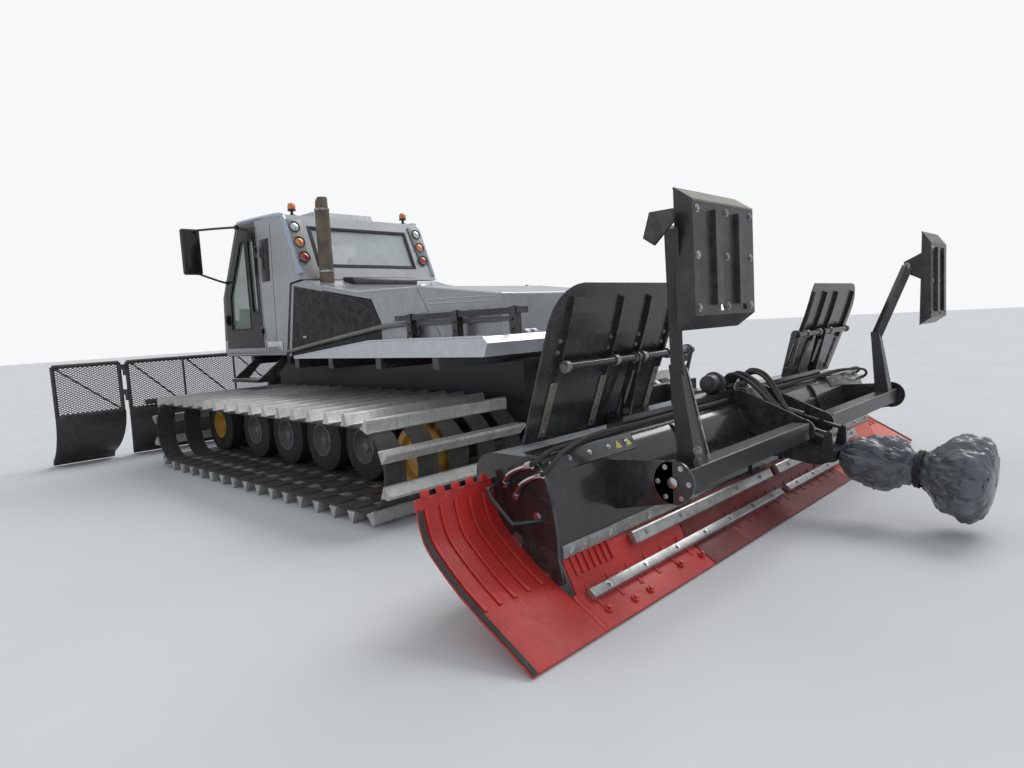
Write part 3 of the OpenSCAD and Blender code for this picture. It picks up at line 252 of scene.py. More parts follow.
# Materials, each with its colour and a second shade of it
SILVER_SHADES = (0.36, 0.365, 0.375), (0.30, 0.305, 0.315)
SILVER = dict(rough=0.34, metal=0.55, scratches=0.1, bare=(0.6, 0.6, 0.62), mud=(0.25, 0.235, 0.215))
CLEAN = dict(dust=0.1, runs=0.1, edges=0, scratches=0)
black_gloss = surface("black_gloss_paint", (0.012, 0.0125, 0.014), (0.022, 0.022, 0.024), rough=0.22,
                      coat=0.45, dust=0.16, runs=0.10, edges=0.45, bare=(0.09, 0.088, 0.085),
                      patch_scale=2.0, mud=(0.105, 0.098, 0.09))
black_satin = surface("black_satin_paint", (0.014, 0.0145, 0.016), (0.028, 0.028, 0.03), rough=0.36,
                      coat=0.15, dust=0.22, runs=0.12, edges=0.55, bare=(0.10, 0.097, 0.093),
                      mud=(0.115, 0.108, 0.10))
flap_black = surface("flap_black_paint", (0.017, 0.0175, 0.019), (0.03, 0.03, 0.032), rough=0.27, coat=0.35,
                     dust=0.2, runs=0.18, edges=0.5, scratches=0.3, bare=(0.12, 0.118, 0.115),
                     mud=(0.085, 0.08, 0.075))
door_black = surface("door_black_paint", (0.004, 0.004, 0.0045), rough=0.22, coat=0.12, dust=0.05, runs=0.04,
                     edges=0.1, scratches=0.02, coat_rough=0.06, mud=(0.045, 0.043, 0.04), specular=0.16)
# Near-black, weakly reflecting face for the mirrors' glass: painted dark reflection.
mirror_painted_dark_reflection = surface("mirror_face_painted_reflection", (0.035, 0.036, 0.038), rough=0.12, metal=0.6, **CLEAN)
silver = surface("silver_metallic_paint", *SILVER_SHADES, coat=0.5, dust=0.18, runs=0.16,
                 edges=0.2, **SILVER)
cab_paint = surface("cab_two_tone_paint", *SILVER_SHADES, coat=0.4, dust=0.12, runs=0.12,
                    edges=0.15, **SILVER)
black_round_doors(cab_paint)
# Lighter copy of the silver paint: painted highlight, for the deck's lit top and the highlights along the
# hood's, rear cover's and deck's edges.
silver_painted_highlight = surface("silver_painted_highlight_paint", (0.62, 0.64, 0.67), (0.55, 0.57, 0.60), rough=0.30, metal=0.5,
                       coat=0.6, dust=0.15, runs=0.12, edges=0.2, scratches=0.1, mud=(0.3, 0.28, 0.26))
# Silver paint tinted blue for the roof edge tubes: painted sky reflection.
cab_tube_sky_reflection = surface("cab_tube_painted_sky_reflection", (0.40, 0.47, 0.55), (0.34, 0.40, 0.47), rough=0.2, metal=0.5, coat=0.9,
                   dust=0.1, runs=0.1, edges=0.1, scratches=0.05)
pipe_grey = surface("pipe_grey_paint", (0.22, 0.22, 0.215), (0.17, 0.17, 0.165), rough=0.42, metal=0.4,
                    runs=0.3, edges=0.4)
rubber = surface("black_rubber", (0.018, 0.018, 0.018), (0.03, 0.029, 0.028), rough=0.72, edges=0,
                 scratches=0, grain=0.25)
belt_rubber = surface("belt_rubber", (0.024, 0.024, 0.024), (0.05, 0.048, 0.046), rough=0.78, dust=0.55,
                      runs=0.15, edges=0.2, scratches=0.1, grain=0.4, patch_scale=6.0,
                      bare=(0.1, 0.095, 0.09))
grouser_alu = surface("grouser_aluminium", (0.62, 0.62, 0.60), (0.42, 0.41, 0.385), rough=0.42, metal=0.55,
                      dust=0.75, runs=0.45, edges=0.6, scratches=0.6, bare=(0.82, 0.82, 0.82), grain=0.2,
                      patch_scale=5.0, mud=(0.16, 0.13, 0.105))
red_mat = surface("red_worn_plastic", (0.56, 0.022, 0.018), (0.40, 0.016, 0.014), rough=0.42, dust=0.42,
                  runs=0.35, edges=0.35, scratches=0.6, bare=(0.70, 0.09, 0.06), grain=0.12, patch_scale=4.0,
                  mud=(0.11, 0.045, 0.035))
# Darker red for the middle mat.
red_dark = surface("red_mat_darker", (0.20, 0.014, 0.013), (0.12, 0.012, 0.011), rough=0.5, dust=0.6,
                   runs=0.3, scratches=0.5, bare=(0.35, 0.06, 0.05), grain=0.12, mud=(0.075, 0.035, 0.03))
red_faded = surface("red_faded_plastic", (0.66, 0.14, 0.095), (0.56, 0.09, 0.06), rough=0.55, scratches=0.5,
                    bare=(0.75, 0.3, 0.22), mud=(0.22, 0.09, 0.06))
rail_alu = surface("rail_aluminium", (0.46, 0.46, 0.46), (0.30, 0.295, 0.285), rough=0.34, metal=0.8,
                   dust=0.6, runs=0.3, edges=0.7, scratches=0.8, bare=(0.7, 0.7, 0.7), patch_scale=6.0,
                   mud=(0.10, 0.085, 0.07))
worn_steel = surface("worn_steel", (0.30, 0.30, 0.30), (0.16, 0.155, 0.15), rough=0.36, metal=0.8, runs=0.3,
                     edges=0.8, scratches=0.8, bare=(0.6, 0.6, 0.6), patch_scale=7.0)
bright_steel = surface("bright_steel", (0.62, 0.62, 0.63), rough=0.2, metal=1.0, dust=0.2, runs=0.1,
                       edges=0.2, scratches=0.3, patch_scale=8.0)
rim_grey = surface("rim_grey_paint", (0.17, 0.17, 0.17), (0.10, 0.098, 0.094), rough=0.5, dust=0.4,
                   runs=0.5, edges=0.5)
yellow = surface("yellow_paint", (0.62, 0.33, 0.02), (0.45, 0.22, 0.02), rough=0.45, dust=0.5, runs=0.5,
                 edges=0.5, scratches=0.3, bare=(0.3, 0.25, 0.2))
exhaust_steel = surface("exhaust_steel", (0.20, 0.165, 0.13), (0.07, 0.05, 0.04), rough=0.65, metal=0.3,
                        dust=0.2, runs=0.5, edges=0.4, scratches=0.3, bare=(0.30, 0.26, 0.2), grain=0.5,
                        patch_scale=7.0)
lens_red = surface("lens_red", (0.42, 0.012, 0.012), rough=0.12, coat=0.8, **CLEAN)
lens_amber = surface("lens_amber", (0.80, 0.19, 0.02), rough=0.14, coat=0.8, **CLEAN)
lens_clear = surface("lens_clear", (0.66, 0.68, 0.70), (0.5, 0.52, 0.54), rough=0.1, metal=0.3,
                     coat=1.0, **CLEAN)
white_plastic = surface("white_plastic", (0.74, 0.75, 0.75), dust=0.25, runs=0.3, edges=0.1, scratches=0.1)
cab_plastic = surface("cab_plastic", (0.03, 0.03, 0.032), (0.045, 0.045, 0.047), rough=0.6, dust=0.3,
                      runs=0.1, edges=0.1, scratches=0, grain=0.3)
seat_cloth = surface("seat_cloth", (0.035, 0.037, 0.042), (0.055, 0.056, 0.06), rough=0.85, dust=0.1, runs=0,
                     edges=0, scratches=0, grain=0.8, patch_scale=60.0)
engine_iron = surface("engine_iron", (0.14, 0.145, 0.15), rough=0.6, metal=0.3, dust=0.5, runs=0.3)
bag_sheet = surface("grey_sheet", (0.115, 0.125, 0.145), (0.075, 0.082, 0.095), rough=0.30, coat=0.25,
                    dust=0.25, runs=0.15, bare=(0.30, 0.31, 0.34), grain=0.35, patch_scale=5.0,
                    mud=(0.2, 0.19, 0.17))
batten_pale = surface("pale_batten", (0.22, 0.20, 0.155), (0.14, 0.125, 0.095), rough=0.6, dust=0.3,
                      runs=0.3, edges=0.4, scratches=0.3)
patch_yellow = surface("yellow_patch", (0.66, 0.55, 0.10), rough=0.5, dust=0.2, edges=0)
glass_side = clear_glass("side_glass", (0.30, 0.36, 0.34), 0.03, 0.30)
glass_screen = clear_glass("screen_glass", (0.70, 0.74, 0.73), 0.05, 0.42)


# Modelling by operators
def made():
    """The object that the last operator made."""
    return bpy.context.view_layer.objects.active


def nothing():
    bpy.ops.object.select_all(action="DESELECT")


def only(*objects):
    nothing()
    for o in objects:
        o.select_set(True)
    bpy.context.view_layer.objects.active = objects[0]
    return objects[0]


def settle(obj):
    """Puts the object's place into its mesh."""
    only(obj)
    bpy.ops.object.transform_apply(location=True, rotation=True, scale=True)
    return obj


def edit_all():
    bpy.ops.object.mode_set(mode="EDIT")
    bpy.ops.mesh.select_all(action="SELECT")


def leave_edit():
    bpy.ops.object.mode_set(mode="OBJECT")


def outward(obj):
    only(obj)
    edit_all()
    bpy.ops.mesh.remove_doubles(threshold=0.00002)
    bpy.ops.mesh.normals_make_consistent(inside=False)
    leave_edit()
    return obj


def softened(obj, width=0.003, steps=2):
    """Bevels the edges that turn by more than 32 degrees, if the width isn't 0."""
    if width:
        only(obj)
        b = obj.modifiers.new("edge", "BEVEL")
        b.width = width
        b.segments = steps
        b.limit_method = "ANGLE"
        b.angle_limit = math.radians(32)
        bpy.ops.object.modifier_apply(modifier="edge")
    return obj


def joined(name, parts):
    only(*parts)
    if len(parts) > 1:
        bpy.ops.object.join()
    o = made()
    o.name = name
    o.data.name = name
    return o


def block(low, high, bevel=0.0, steps=2):
    nothing()
    size = [b - a for a, b in zip(low, high)]
    mid = [(a + b) / 2 for a, b in zip(low, high)]
    bpy.ops.mesh.primitive_cube_add(size=1, location=mid, scale=size)
    return softened(settle(made()), bevel, steps)


def rod(a, b, r, sides=16, bevel=0.0):
    """Round bar between two points."""
    nothing()
    a, b = Vector(a), Vector(b)
    d = b - a
    bpy.ops.mesh.primitive_cone_add(vertices=sides, radius1=r, radius2=r, depth=d.length,
                                    location=(a + b) / 2, rotation=d.to_track_quat("Z", "Y").to_euler())
    return softened(settle(made()), bevel)


def outline_mesh(points, fill):
    """Ring of corners at the given points, with or without a face."""
    nothing()
    bpy.ops.mesh.primitive_circle_add(vertices=len(points), radius=1, fill_type=fill)
    o = made()
    for vert, p in zip(o.data.vertices, points):
        vert.co = p
    return o


def plate(outline, place, depth, bevel=0.0):
    """Flat outline, put in space by place(u, v), and extruded by the vector depth."""
    o = outline_mesh([place(u, v) for u, v in outline], "NGON")
    edit_all()
    bpy.ops.mesh.extrude_region_move(TRANSFORM_OT_translate={"value": depth})
    leave_edit()
    return softened(outward(o), bevel)


def side_plate(outline, y0, y1, bevel=0.0):
    """Outline drawn as (x, z), from y0 to y1."""
    return plate(outline, lambda u, v: (u, y0, v), (0, y1 - y0, 0), bevel)


def level_plate(outline, z0, z1, bevel=0.0):
    return plate(outline, lambda u, v: (u, v, z0), (0, 0, z1 - z0), bevel)


def ring_plate(outer, inner, y0, y1):
    """Closed band between two outlines with the same number of points."""
    joined("ring", [outline_mesh([(u, y0, v) for u, v in line], "NOTHING") for line in (outer, inner)])
    o = made()
    edit_all()
    bpy.ops.mesh.bridge_edge_loops()
    bpy.ops.mesh.select_all(action="SELECT")
    bpy.ops.mesh.extrude_region_move(TRANSFORM_OT_translate={"value": (0, y1 - y0, 0)})
    leave_edit()
    return outward(o)


def turned(profile, a, axis, steps=32):
    """Closed profile of (distance along, radius), spun round the axis through a."""
    axis = Vector(axis).normalized()
    side = axis.orthogonal().normalized()
    o = outline_mesh([Vector(a) + axis * along + side * r for along, r in profile], "NOTHING")
    edit_all()
    bpy.ops.mesh.spin(steps=steps, angle=2 * math.pi, center=a, axis=axis, use_auto_merge=True)
    leave_edit()
    return outward(o)


def hose(points, r, sides=8, smoothness=6):
    """Round tube along a smooth way through the points."""
    nothing()
    bpy.ops.curve.primitive_nurbs_path_add()
    o = made()
    o.data.splines.clear()
    s = o.data.splines.new("NURBS")
    s.points.add(len(points) - 1)
    for p, q in zip(s.points, points):
        p.co = (*q, 1)
    s.use_endpoint_u = True
    s.order_u = 4 if len(points) > 3 else len(points)
    s.resolution_u = smoothness
    o.data.bevel_depth = r
    o.data.bevel_resolution = max(1, sides // 4 - 1)
    o.data.use_fill_caps = True
    bpy.ops.object.convert(target="MESH")
    return settle(made())


def again(obj, move):
    """A copy of a piece, with its own mesh, put elsewhere by a matrix."""
    only(obj)
    bpy.ops.object.duplicate()
    o = made()
    o.data.transform(move)
    if move.determinant() < 0:
        o.data.flip_normals()
    return o


MIRROR = Matrix.Diagonal((1, -1, 1, 1))
ALONG_X, ALONG_Y, ALONG_Z, REARWARD = (1, 0, 0), (0, 1, 0), (0, 0, 1), (-1, 0, 0)


def both_sides(pieces):
    return pieces + [again(p, MIRROR) for p in pieces]


def dress(obj, material, body, slot, *nodes):
    """Gives a finished piece its material and body, and hides the CAD nodes it stands for; the slot is not
    used.
    """
    obj.data.materials.clear()
    obj.data.materials.append(material)
    only(obj)
    bpy.ops.object.shade_smooth_by_angle(angle=math.radians(35))
    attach(obj, body)
    if nodes:
        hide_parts(*nodes)
    return obj


def single(name, pieces, *look):
    """Joins pieces into one and dresses it."""
    return dress(joined(name, pieces), *look)


def paired(name, pieces, *look):
    """Joins pieces with their mirror images across the machine into one, and dresses it."""
    return dress(joined(name, both_sides(pieces)), *look)


def left_and_right(piece, finish, body, slot, nodes=(), other_finish=None, rename=True):
    """Dresses a left piece, and its mirror image on the right as a piece of its own."""
    other = again(piece, MIRROR)
    if rename:
        other.name = piece.name.replace("left", "right")
    dress(piece, finish, body, slot, *nodes)
    dress(other, other_finish or finish, body.replace("left", "right"), slot,
          *[n.replace("left", "right") for n in nodes])


def at(x, y, z):
    """Place given in millimetres from the tracks' rear end."""
    return (x / 1000 + SHIFT, y / 1000, z / 1000)


def way(*places):
    """Places given in millimetres, as a list of points."""
    return [at(*p) for p in places]


def xz(*points):
    """Outline given as (x, z) in millimetres."""
    return [(x / 1000 + SHIFT, z / 1000) for x, z in points]


def bolt(p, out, r=0.011, tall=0.009):
    """Hexagon head with a washer, standing on a face."""
    p, out = Vector(p), Vector(out).normalized()
    return joined("bolt", [rod(p, p + out * tall, r, 6), rod(p - out * 0.001, p + out * 0.002, r * 1.6, 14)])


def bolts(places, out, r, tall=0.009):
    return [bolt(p, out, r, tall) for p in places]


def round_places(centre, r, count):
    """Places spread round a centre, in the plane across the machine's width."""
    turns = [k * 2 * math.pi / count for k in range(count)]
    return [Vector(centre) + Vector((r * math.cos(a), 0, r * math.sin(a))) for a in turns]


def arc_points(centre, r, a0, a1, steps):
    turns = [math.radians(a0 + (a1 - a0) * k / steps) for k in range(steps + 1)]
    return [(centre[0] + r * math.cos(a), centre[1] + r * math.sin(a)) for a in turns]


def aside(line, d):
    """The same line, moved to its left by a distance."""
    moved = []
    for k, p in enumerate(line):
        a, b = Vector(line[max(k - 1, 0)]), Vector(line[min(k + 1, len(line) - 1)])
        u = (b - a).normalized()
        moved.append((p[0] - u.y * d, p[1] + u.x * d))
    return moved


def strip(line, d):
    return line + aside(line, d)[::-1]


# Floor
nothing()
bpy.ops.mesh.primitive_plane_add(size=160, location=(0, 0, -0.002))
floor = made()
floor.name = "floor"
floor_paint, ft, f_bsdf, f_where = new_material("floor_paint")
f_bsdf.inputs["Roughness"].default_value = 0.9
f_bsdf.inputs["Specular IOR Level"].default_value = 0.1
f_patches = between(ft, noise(ft, f_where, 0.6), 0.3, 0.7)
ft.links.new(mix_colour(ft, f_patches, (0.60, 0.605, 0.61), (0.64, 0.645, 0.65)),
             f_bsdf.inputs["Base Color"])
floor.data.materials.append(floor_paint)

# Tracks: belts and bars on one loop with two round ends
BELT_OUT, BELT_IN, BELT_HALF = 0.335, 0.317, 0.095
WHEEL_R, FRONT_WHEEL_R = 0.3162, 0.3122
LOOP_REAR, LOOP_FRONT, LOOP_Z = 0.425 + SHIFT, 4.375 + SHIFT, 0.425
STRAIGHT = LOOP_FRONT - LOOP_REAR
HALF_TURN = math.pi * BELT_OUT
LOOP = 2 * STRAIGHT + 2 * HALF_TURN
BAR_COUNT = 38
TRACK_IN, TRACK_OUT = 0.64, 2.1
BELTS = [TRACK_IN + 0.115 + k * (TRACK_OUT - TRACK_IN - 0.23) / 4 for k in range(5)]
WHEEL_Y = BELTS[2]


def loop_place(s):
    """Matrix that puts what is drawn over the origin, standing up, on the belt at a distance along it."""
    s %= LOOP
    if s < STRAIGHT:
        x, z, a = LOOP_REAR + s, LOOP_Z + BELT_OUT, 0.0
    elif s < STRAIGHT + HALF_TURN:
        a = (s - STRAIGHT) / BELT_OUT
        x, z = LOOP_FRONT + BELT_OUT * math.sin(a), LOOP_Z + BELT_OUT * math.cos(a)
    elif s < 2 * STRAIGHT + HALF_TURN:
        x, z, a = LOOP_FRONT - (s - STRAIGHT - HALF_TURN), LOOP_Z - BELT_OUT, math.pi
    else:
        a = math.pi + (s - 2 * STRAIGHT - HALF_TURN) / BELT_OUT
        x, z = LOOP_REAR + BELT_OUT * math.sin(a), LOOP_Z + BELT_OUT * math.cos(a)
    return Matrix.Translation((x, 0, z)) @ Matrix.Rotation(a, 4, "Y")


def loop_outline(r):
    turns = [math.pi * k / 14 for k in range(15)]
    front = [(LOOP_FRONT + r * math.sin(a), LOOP_Z + r * math.cos(a)) for a in turns]
    return front + [(LOOP_REAR - r * math.sin(a), LOOP_Z - r * math.cos(a)) for a in turns]


def grouser():
    """Hollow aluminium bar with a tall fin, its lips and end openings, lying across the belts."""
    o = side_plate([(-0.050, -0.004), (0.050, -0.004), (0.050, 0.006), (0.040, 0.014), (0.020, 0.078),
                    (0.011, 0.089), (-0.011, 0.089), (-0.020, 0.078), (-0.040, 0.014), (-0.050, 0.006)],
                   TRACK_IN, TRACK_OUT)
    edit_all()
    bpy.ops.mesh.select_all(action="DESELECT")
    leave_edit()
    for f in o.data.polygons:
        f.select = abs(f.normal.y) > 0.9
    bpy.ops.object.mode_set(mode="EDIT")
    bpy.ops.mesh.inset(thickness=0.006)
    bpy.ops.mesh.extrude_region_shrink_fatten(TRANSFORM_OT_shrink_fatten={"value": -0.04})
    leave_edit()
    return o


bar = grouser()
grips = [block((-0.034, y - 0.075, -0.026), (0.034, y + 0.075, -0.017)) for y in BELTS]
bar_places = [loop_place((k + 0.5) * LOOP / BAR_COUNT) for k in range(BAR_COUNT)]
bars = [again(bar, m) for m in bar_places]
lugs = [again(g, m) for g in grips for m in bar_places]
for o in [bar] + grips:
    bpy.data.objects.remove(o)
belts = [ring_plate(loop_outline(BELT_OUT), loop_outline(BELT_IN), y - BELT_HALF,
                    y + BELT_HALF) for y in BELTS]
left_and_right(joined("left_grousers", bars), grouser_alu, "machine", "bright_steel", ["left_track"])
left_and_right(joined("left_belts", belts + lugs), belt_rubber, "machine", "rubber", ["left_track"])


def wheel_pieces(x, r):
    """Tyre, and dished rim with its bolts and hub, of one running wheel on the left side."""
    c = (x, WHEEL_Y, LOOP_Z)
    tyre = turned([(-0.100, 0.155), (-0.094, 0.20), (-0.098, 0.27), (-0.080, r - 0.004), (-0.045, r),
                   (0.045, r), (0.080, r - 0.004), (0.098, 0.27), (0.094, 0.20), (0.100, 0.155)],
                  c, ALONG_Y, 36)
    rim = turned([(-0.09, 0.0), (-0.09, 0.16), (0.102, 0.162), (0.106, 0.152), (0.092, 0.143),
                  (0.050, 0.128), (0.030, 0.100), (0.034, 0.075), (0.052, 0.062), (0.060, 0.046),
                  (0.072, 0.040), (0.074, 0.0)],
                 c, ALONG_Y, 36)
    studs = [rod(q, q + Vector((0, 0.016, 0)), 0.011, 6)
             for q in round_places((x, WHEEL_Y + 0.034, LOOP_Z), 0.080, 6)]
    return tyre, joined("rim", [rim] + studs)


wheels = [wheel_pieces(LOOP_REAR + 0.86 + k * 0.72, WHEEL_R) for k in range(4)]
wheels.append(wheel_pieces(LOOP_FRONT, FRONT_WHEEL_R))
tyres, rims = [[w[k] for w in wheels] for k in (0, 1)]
drive = Vector((LOOP_REAR, WHEEL_Y, LOOP_Z))
drum = turned([(-0.178, 0.0), (-0.178, 0.20), (-0.17, 0.26), (-0.075, 0.26), (-0.07, 0.235), (0.07, 0.235),
               (0.075, 0.26), (0.17, 0.26), (0.178, 0.20), (0.13, 0.18), (0.12, 0.09), (0.17, 0.08),
               (0.176, 0.0)], drive, ALONG_Y, 36)
tooth = side_plate([(-0.03, 0.225), (0.03, 0.225), (0.016, 0.308), (-0.016, 0.308)], -0.055, 0.055, 0.004)
teeth = [again(tooth, Matrix.Translation(drive) @ Matrix.Rotation(k * math.pi / 6, 4,
                                                                  "Y")) for k in range(12)]
bpy.data.objects.remove(tooth)
for name, pieces, finish, slot in (
        ("left_tyres", tyres, rubber, "tyre"), ("left_rims", rims[:4], rim_grey, "black_steel"),
        ("left_front_rim", rims[4:], yellow, "black_steel"), ("left_sprocket", [drum] + teeth, yellow,
                                                              "black_steel")):
    left_and_right(joined(name, pieces), finish, "machine", slot, ["left_wheels"])

# Finish of what keeps its CAD shape
FINISHES = (
    (black_satin, "chassis deck_rails steps push_frame top_link blade_carrier lift_barrels"),
    (black_satin, "left_angle_barrel right_angle_barrel rear_lift rear_barrels left_setter right_setter"),
    (bright_steel, "lift_rods left_angle_rod right_angle_rod rear_rods"),
    (black_gloss, "tiller_frame end_plates"),
    (flap_black, "left_flap right_flap"),
    (door_black, "side_panels left_door right_door"),
    (glass_side, "left_door_glass right_door_glass"),
    (silver, "cowl hood rear_cover"),
    # The deck gets the lighter silver: painted highlight on its lit top.
    (silver_painted_highlight, "deck"),
    (cab_paint, "cab_shell"),
    (glass_screen, "cab_glass"),
    (white_plastic, "roof_box"),
    (seat_cloth, "seats"),
    (cab_plastic, "console"),
    (engine_iron, "engine"),
    (worn_steel, "rotor"))
for finish, nodes in FINISHES:
    for node in nodes.split():
        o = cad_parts[node]
        for s in o.material_slots:
            s.material = finish
        if not o.material_slots:
            o.data.materials.append(finish)

# Tiller housing: one large arc for its rear wall, and two rounded corners
CASE_ARC, CASE_R, CORNER_R, TILL = (-0.703 + SHIFT, 0.330), 1.1, 0.12, 2.4
CASE_FRONT, CASE_LOW, CASE_TOP = -1.25 + SHIFT, 0.295, 0.79
corner_z = CASE_TOP - CORNER_R
rear_corner = (CASE_ARC[0] - math.sqrt((CASE_R - CORNER_R) ** 2 - (corner_z - CASE_ARC[1]) ** 2), corner_z)
front_corner = (CASE_FRONT - CORNER_R, corner_z)


def case_line(inset):
    """Housing's outline from the rear wall's lower edge over the top to the front wall's lower edge."""
    big, small = CASE_R - inset, CORNER_R - inset
    low_turn = 180 - math.degrees(math.asin((CASE_LOW - CASE_ARC[1]) / big))
    top_turn = math.degrees(math.atan2(rear_corner[1] - CASE_ARC[1], rear_corner[0] - CASE_ARC[0]))
    return (arc_points(CASE_ARC, big, low_turn, top_turn, 14)
            + arc_points(rear_corner, small, top_turn, 90, 10)[1:]
            + arc_points(front_corner, small, 90, 0, 10) + [(CASE_FRONT - inset, CASE_LOW)])


def case_rear(z, out=0.0):
    """Where the rear wall, or a face outside it, is at a height."""
    return CASE_ARC[0] - math.sqrt((CASE_R + out) ** 2 - (z - CASE_ARC[1]) ** 2)


def rear_wall(inset):
    return [p for p in case_line(inset) if p[0] < -1.655 + SHIFT and 0.29 <= p[1] <= 0.78]


ring = rear_wall(-0.018) + rear_wall(0.004)[::-1]
channel = xz((-1600, 786), (-1600, 800), (-1690, 800), (-1740, 713), (-1732.5, 698), (-1700, 714))
arm = [(case_rear(0.70) + 0.006, 0.70), *xz((-2150, 728), (-2150, 512)), (case_rear(0.43) + 0.006, 0.43)]
outer_parts = [side_plate(ring, y - 0.006, y + 0.006, 0.0015) for y in (0.27, 1.15)]
outer_parts += [side_plate(channel, 1.6, TILL, 0.003), side_plate(arm, 1.89, 1.91, 0.002)]
outer_parts.append(turned([(0.0, 0.031), (0.0, 0.112), (0.003, 0.115), (0.017, 0.115), (0.02, 0.112),
                           (0.02, 0.031)],
                          at(-2150, 1890, 620), ALONG_Y, 40))
case = [side_plate(case_line(0) + case_line(0.012)[::-1], -TILL, TILL, 0.002)] + both_sides(outer_parts)
single("tiller_housing", case, black_gloss, "tiller", "black_steel", "tiller_case")
strip_z = (0.295, 0.33, 0.362)
low_strip = [(case_rear(z, 0.010), z) for z in strip_z] + [(case_rear(z, -0.004), z) for z in strip_z[::-1]]
paired("tiller_low_strips", [side_plate(low_strip, 1.17, 2.39, 0.0015)], worn_steel, "tiller", "black_steel",
       "tiller_case")

fixings = bolts([(case_rear(0.33, 0.010), y, 0.33) for y in (1.25, 1.62, 2.0, 2.33)], (-1, 0, -0.02), 0.012)
fixings += bolts([(case_rear(z), y, z) for z in (0.36, 0.46, 0.56, 0.66) for y in (1.185, 1.115)],
                 (-1, 0, 0.1), 0.009)
fixings += bolts([at(-1715, y, 756.5) for y in (1680, 1850, 2020, 2190, 2340)], (-0.86, 0, 0.5), 0.009)
fixings += bolts(round_places(at(-2150, 1909.8, 620), 0.088, 6), ALONG_Y, 0.009)
fixings += bolts(way((-1360, 2420.3, 600), (-1400, 2420.3, 180), (-1720, 2420.3, 200)), ALONG_Y, 0.013)
fixings += [bolt(at(-1680, 2420.3, 497), ALONG_Y, 0.016),
            rod(at(-2150, 1905, 620), at(-2150, 1922, 620), 0.029, 20, bevel=0.003)]
paired("tiller_bolts", fixings, bright_steel, "tiller", "bright_steel")

# Elbow fittings and short hoses at the end plates
elbows = []
for (ax, az), (bx, bz), (cx, cz) in (((-1678, 763), (-1536, 710), (-1485, 644)),
                                     ((-1746, 723), (-1623, 671), (-1558, 592))):
    elbows += [hose(way((ax, 2452, az), ((ax + bx) / 2, 2456, (az + bz) / 2 + 6), (bx, 2456, bz),
                        (bx + 28, 2454, bz - 26), (cx, 2440, cz)), 0.013, 12, 8),
               rod(at(ax - 12, 2452, az + 4), at(ax + 26, 2453, az - 7), 0.021, 6),
               rod(at(cx - 8, 2441, cz + 12), at(cx + 4, 2438, cz - 8), 0.020, 6)]
paired("end_plate_elbows", elbows, bright_steel, "tiller", "chrome_rod")
feeds = []
for k, (x, z) in enumerate(((-1690, 767), (-1758, 727))):
    feeds.append(hose(way((x, 2452, z), (x - 40, 2448, z + 22), (x - 42, 2380, 830 - 16 * k),
                          (x - 20 + 30 * k, 2250, 822 - 4 * k), (-1690, 1990, 826 + 14 * k),
                          (-1672, 1700, 820 + 12 * k), (-1668, 1400, 826), (-1672, 1000, 824 + 10 * k),
                          (-1668, 600, 818 + 6 * k), (-1665, 330, 830)), 0.0125, 12, 6))
paired("tiller_feed_hoses", feeds, rubber, "tiller", "rubber")

# Mats: their lines seen from the side
MAT_THICK = 0.014
MAT_LINE = [(case_rear(CASE_LOW), 0.2947), *xz((-1824, 252), (-1850, 205), (-1872, 161), (-1884, 134),
                                               (-1900, 119), (-1980, 72), (-2075, 16))]
SIDE_LINE = xz((-1365, 655), (-1372, 600), (-1385, 540), (-1398, 496), (-1415, 455), (-1444, 418),
               (-1480, 385), (-1560, 320), (-1650, 255), (-1760, 190), (-1885, 122), (-1980, 70),
               (-2075, 16))


def mat_piece(y0, y1, top=0, ribs=True):
    """Stretch of mat from the housing's lower edge to the rear, with low ribs along the machine."""
    line = MAT_LINE[top:]
    pieces = [side_plate(strip(line, MAT_THICK), y0, y1, 0.003)]
    count = max(2, round((y1 - y0) / 0.16)) if ribs else 0
    for k in range(count):
        y = y0 + (k + 0.5) * (y1 - y0) / count
        pieces.append(side_plate(strip(line[3:-1], -0.005), y - 0.012, y + 0.012, 0.0015))
    return joined("mat", pieces)


for place, finish, spans in (("left", red_mat, ((1.35, 2.39), (2.39, 2.42, 4, False))),
                             ("middle", red_dark, ((-1.0, 0.9), (0.9, 1.34, 0, False))),
                             ("right", red_faded, ((-2.39, -1.01), (-2.42, -2.39, 4, False)))):
    single("finisher_mat_" + place, [mat_piece(*span) for span in spans], finish, "tiller", "red_mat",
           "finisher_mat")

side_mat = [side_plate(strip(SIDE_LINE, MAT_THICK), 2.4206, 2.93, 0.003)]
tab = strip(xz((-1365.5, 657), (-1356, 690)), 0.012)
for k in range(5):
    rib_y, tab_y = 2.50 + k * 0.095, 2.455 + k * 0.098
    side_mat += [side_plate(strip(SIDE_LINE[1:10], -0.011), rib_y - 0.011, rib_y + 0.011, 0.003),
                 side_plate(tab, tab_y, tab_y + 0.05, 0.003)]
left_and_right(joined("left_side_mat", side_mat), red_mat, "tiller", "red_mat", ["side_mats"], red_faded)
paired("side_mat_lips", [side_plate(strip(SIDE_LINE[1:], -0.007), 2.9, 2.93, 0.002)], rubber, "tiller",
       "rubber")
patch = [side_plate(strip(MAT_LINE[:3], -0.012), 2.02 + k * 0.05, 2.045 + k * 0.05, 0.002) for k in range(7)]
single("mat_ribbed_patch", patch, red_mat, "tiller", "red_mat")
mat_bolts = []
for x, y in ((-1900, 1920), (-1895, 2040), (-2020, 1960), (-2020, 2100), (-2000, 1380), (-1900, 1390),
             (-2000, 2300), (-1990, 1600)):
    z = 120 + (x + 1900) * 0.59
    mat_bolts += [rod(at(x, y, z - 4), at(x - 6, y, z + 9), 0.022, 18, bevel=0.003),
                  rod(at(x - 4, y, z + 6), at(x - 12, y, z + 21), 0.012, 6)]
paired("mat_bolts", mat_bolts, red_mat, "tiller", "red_mat")


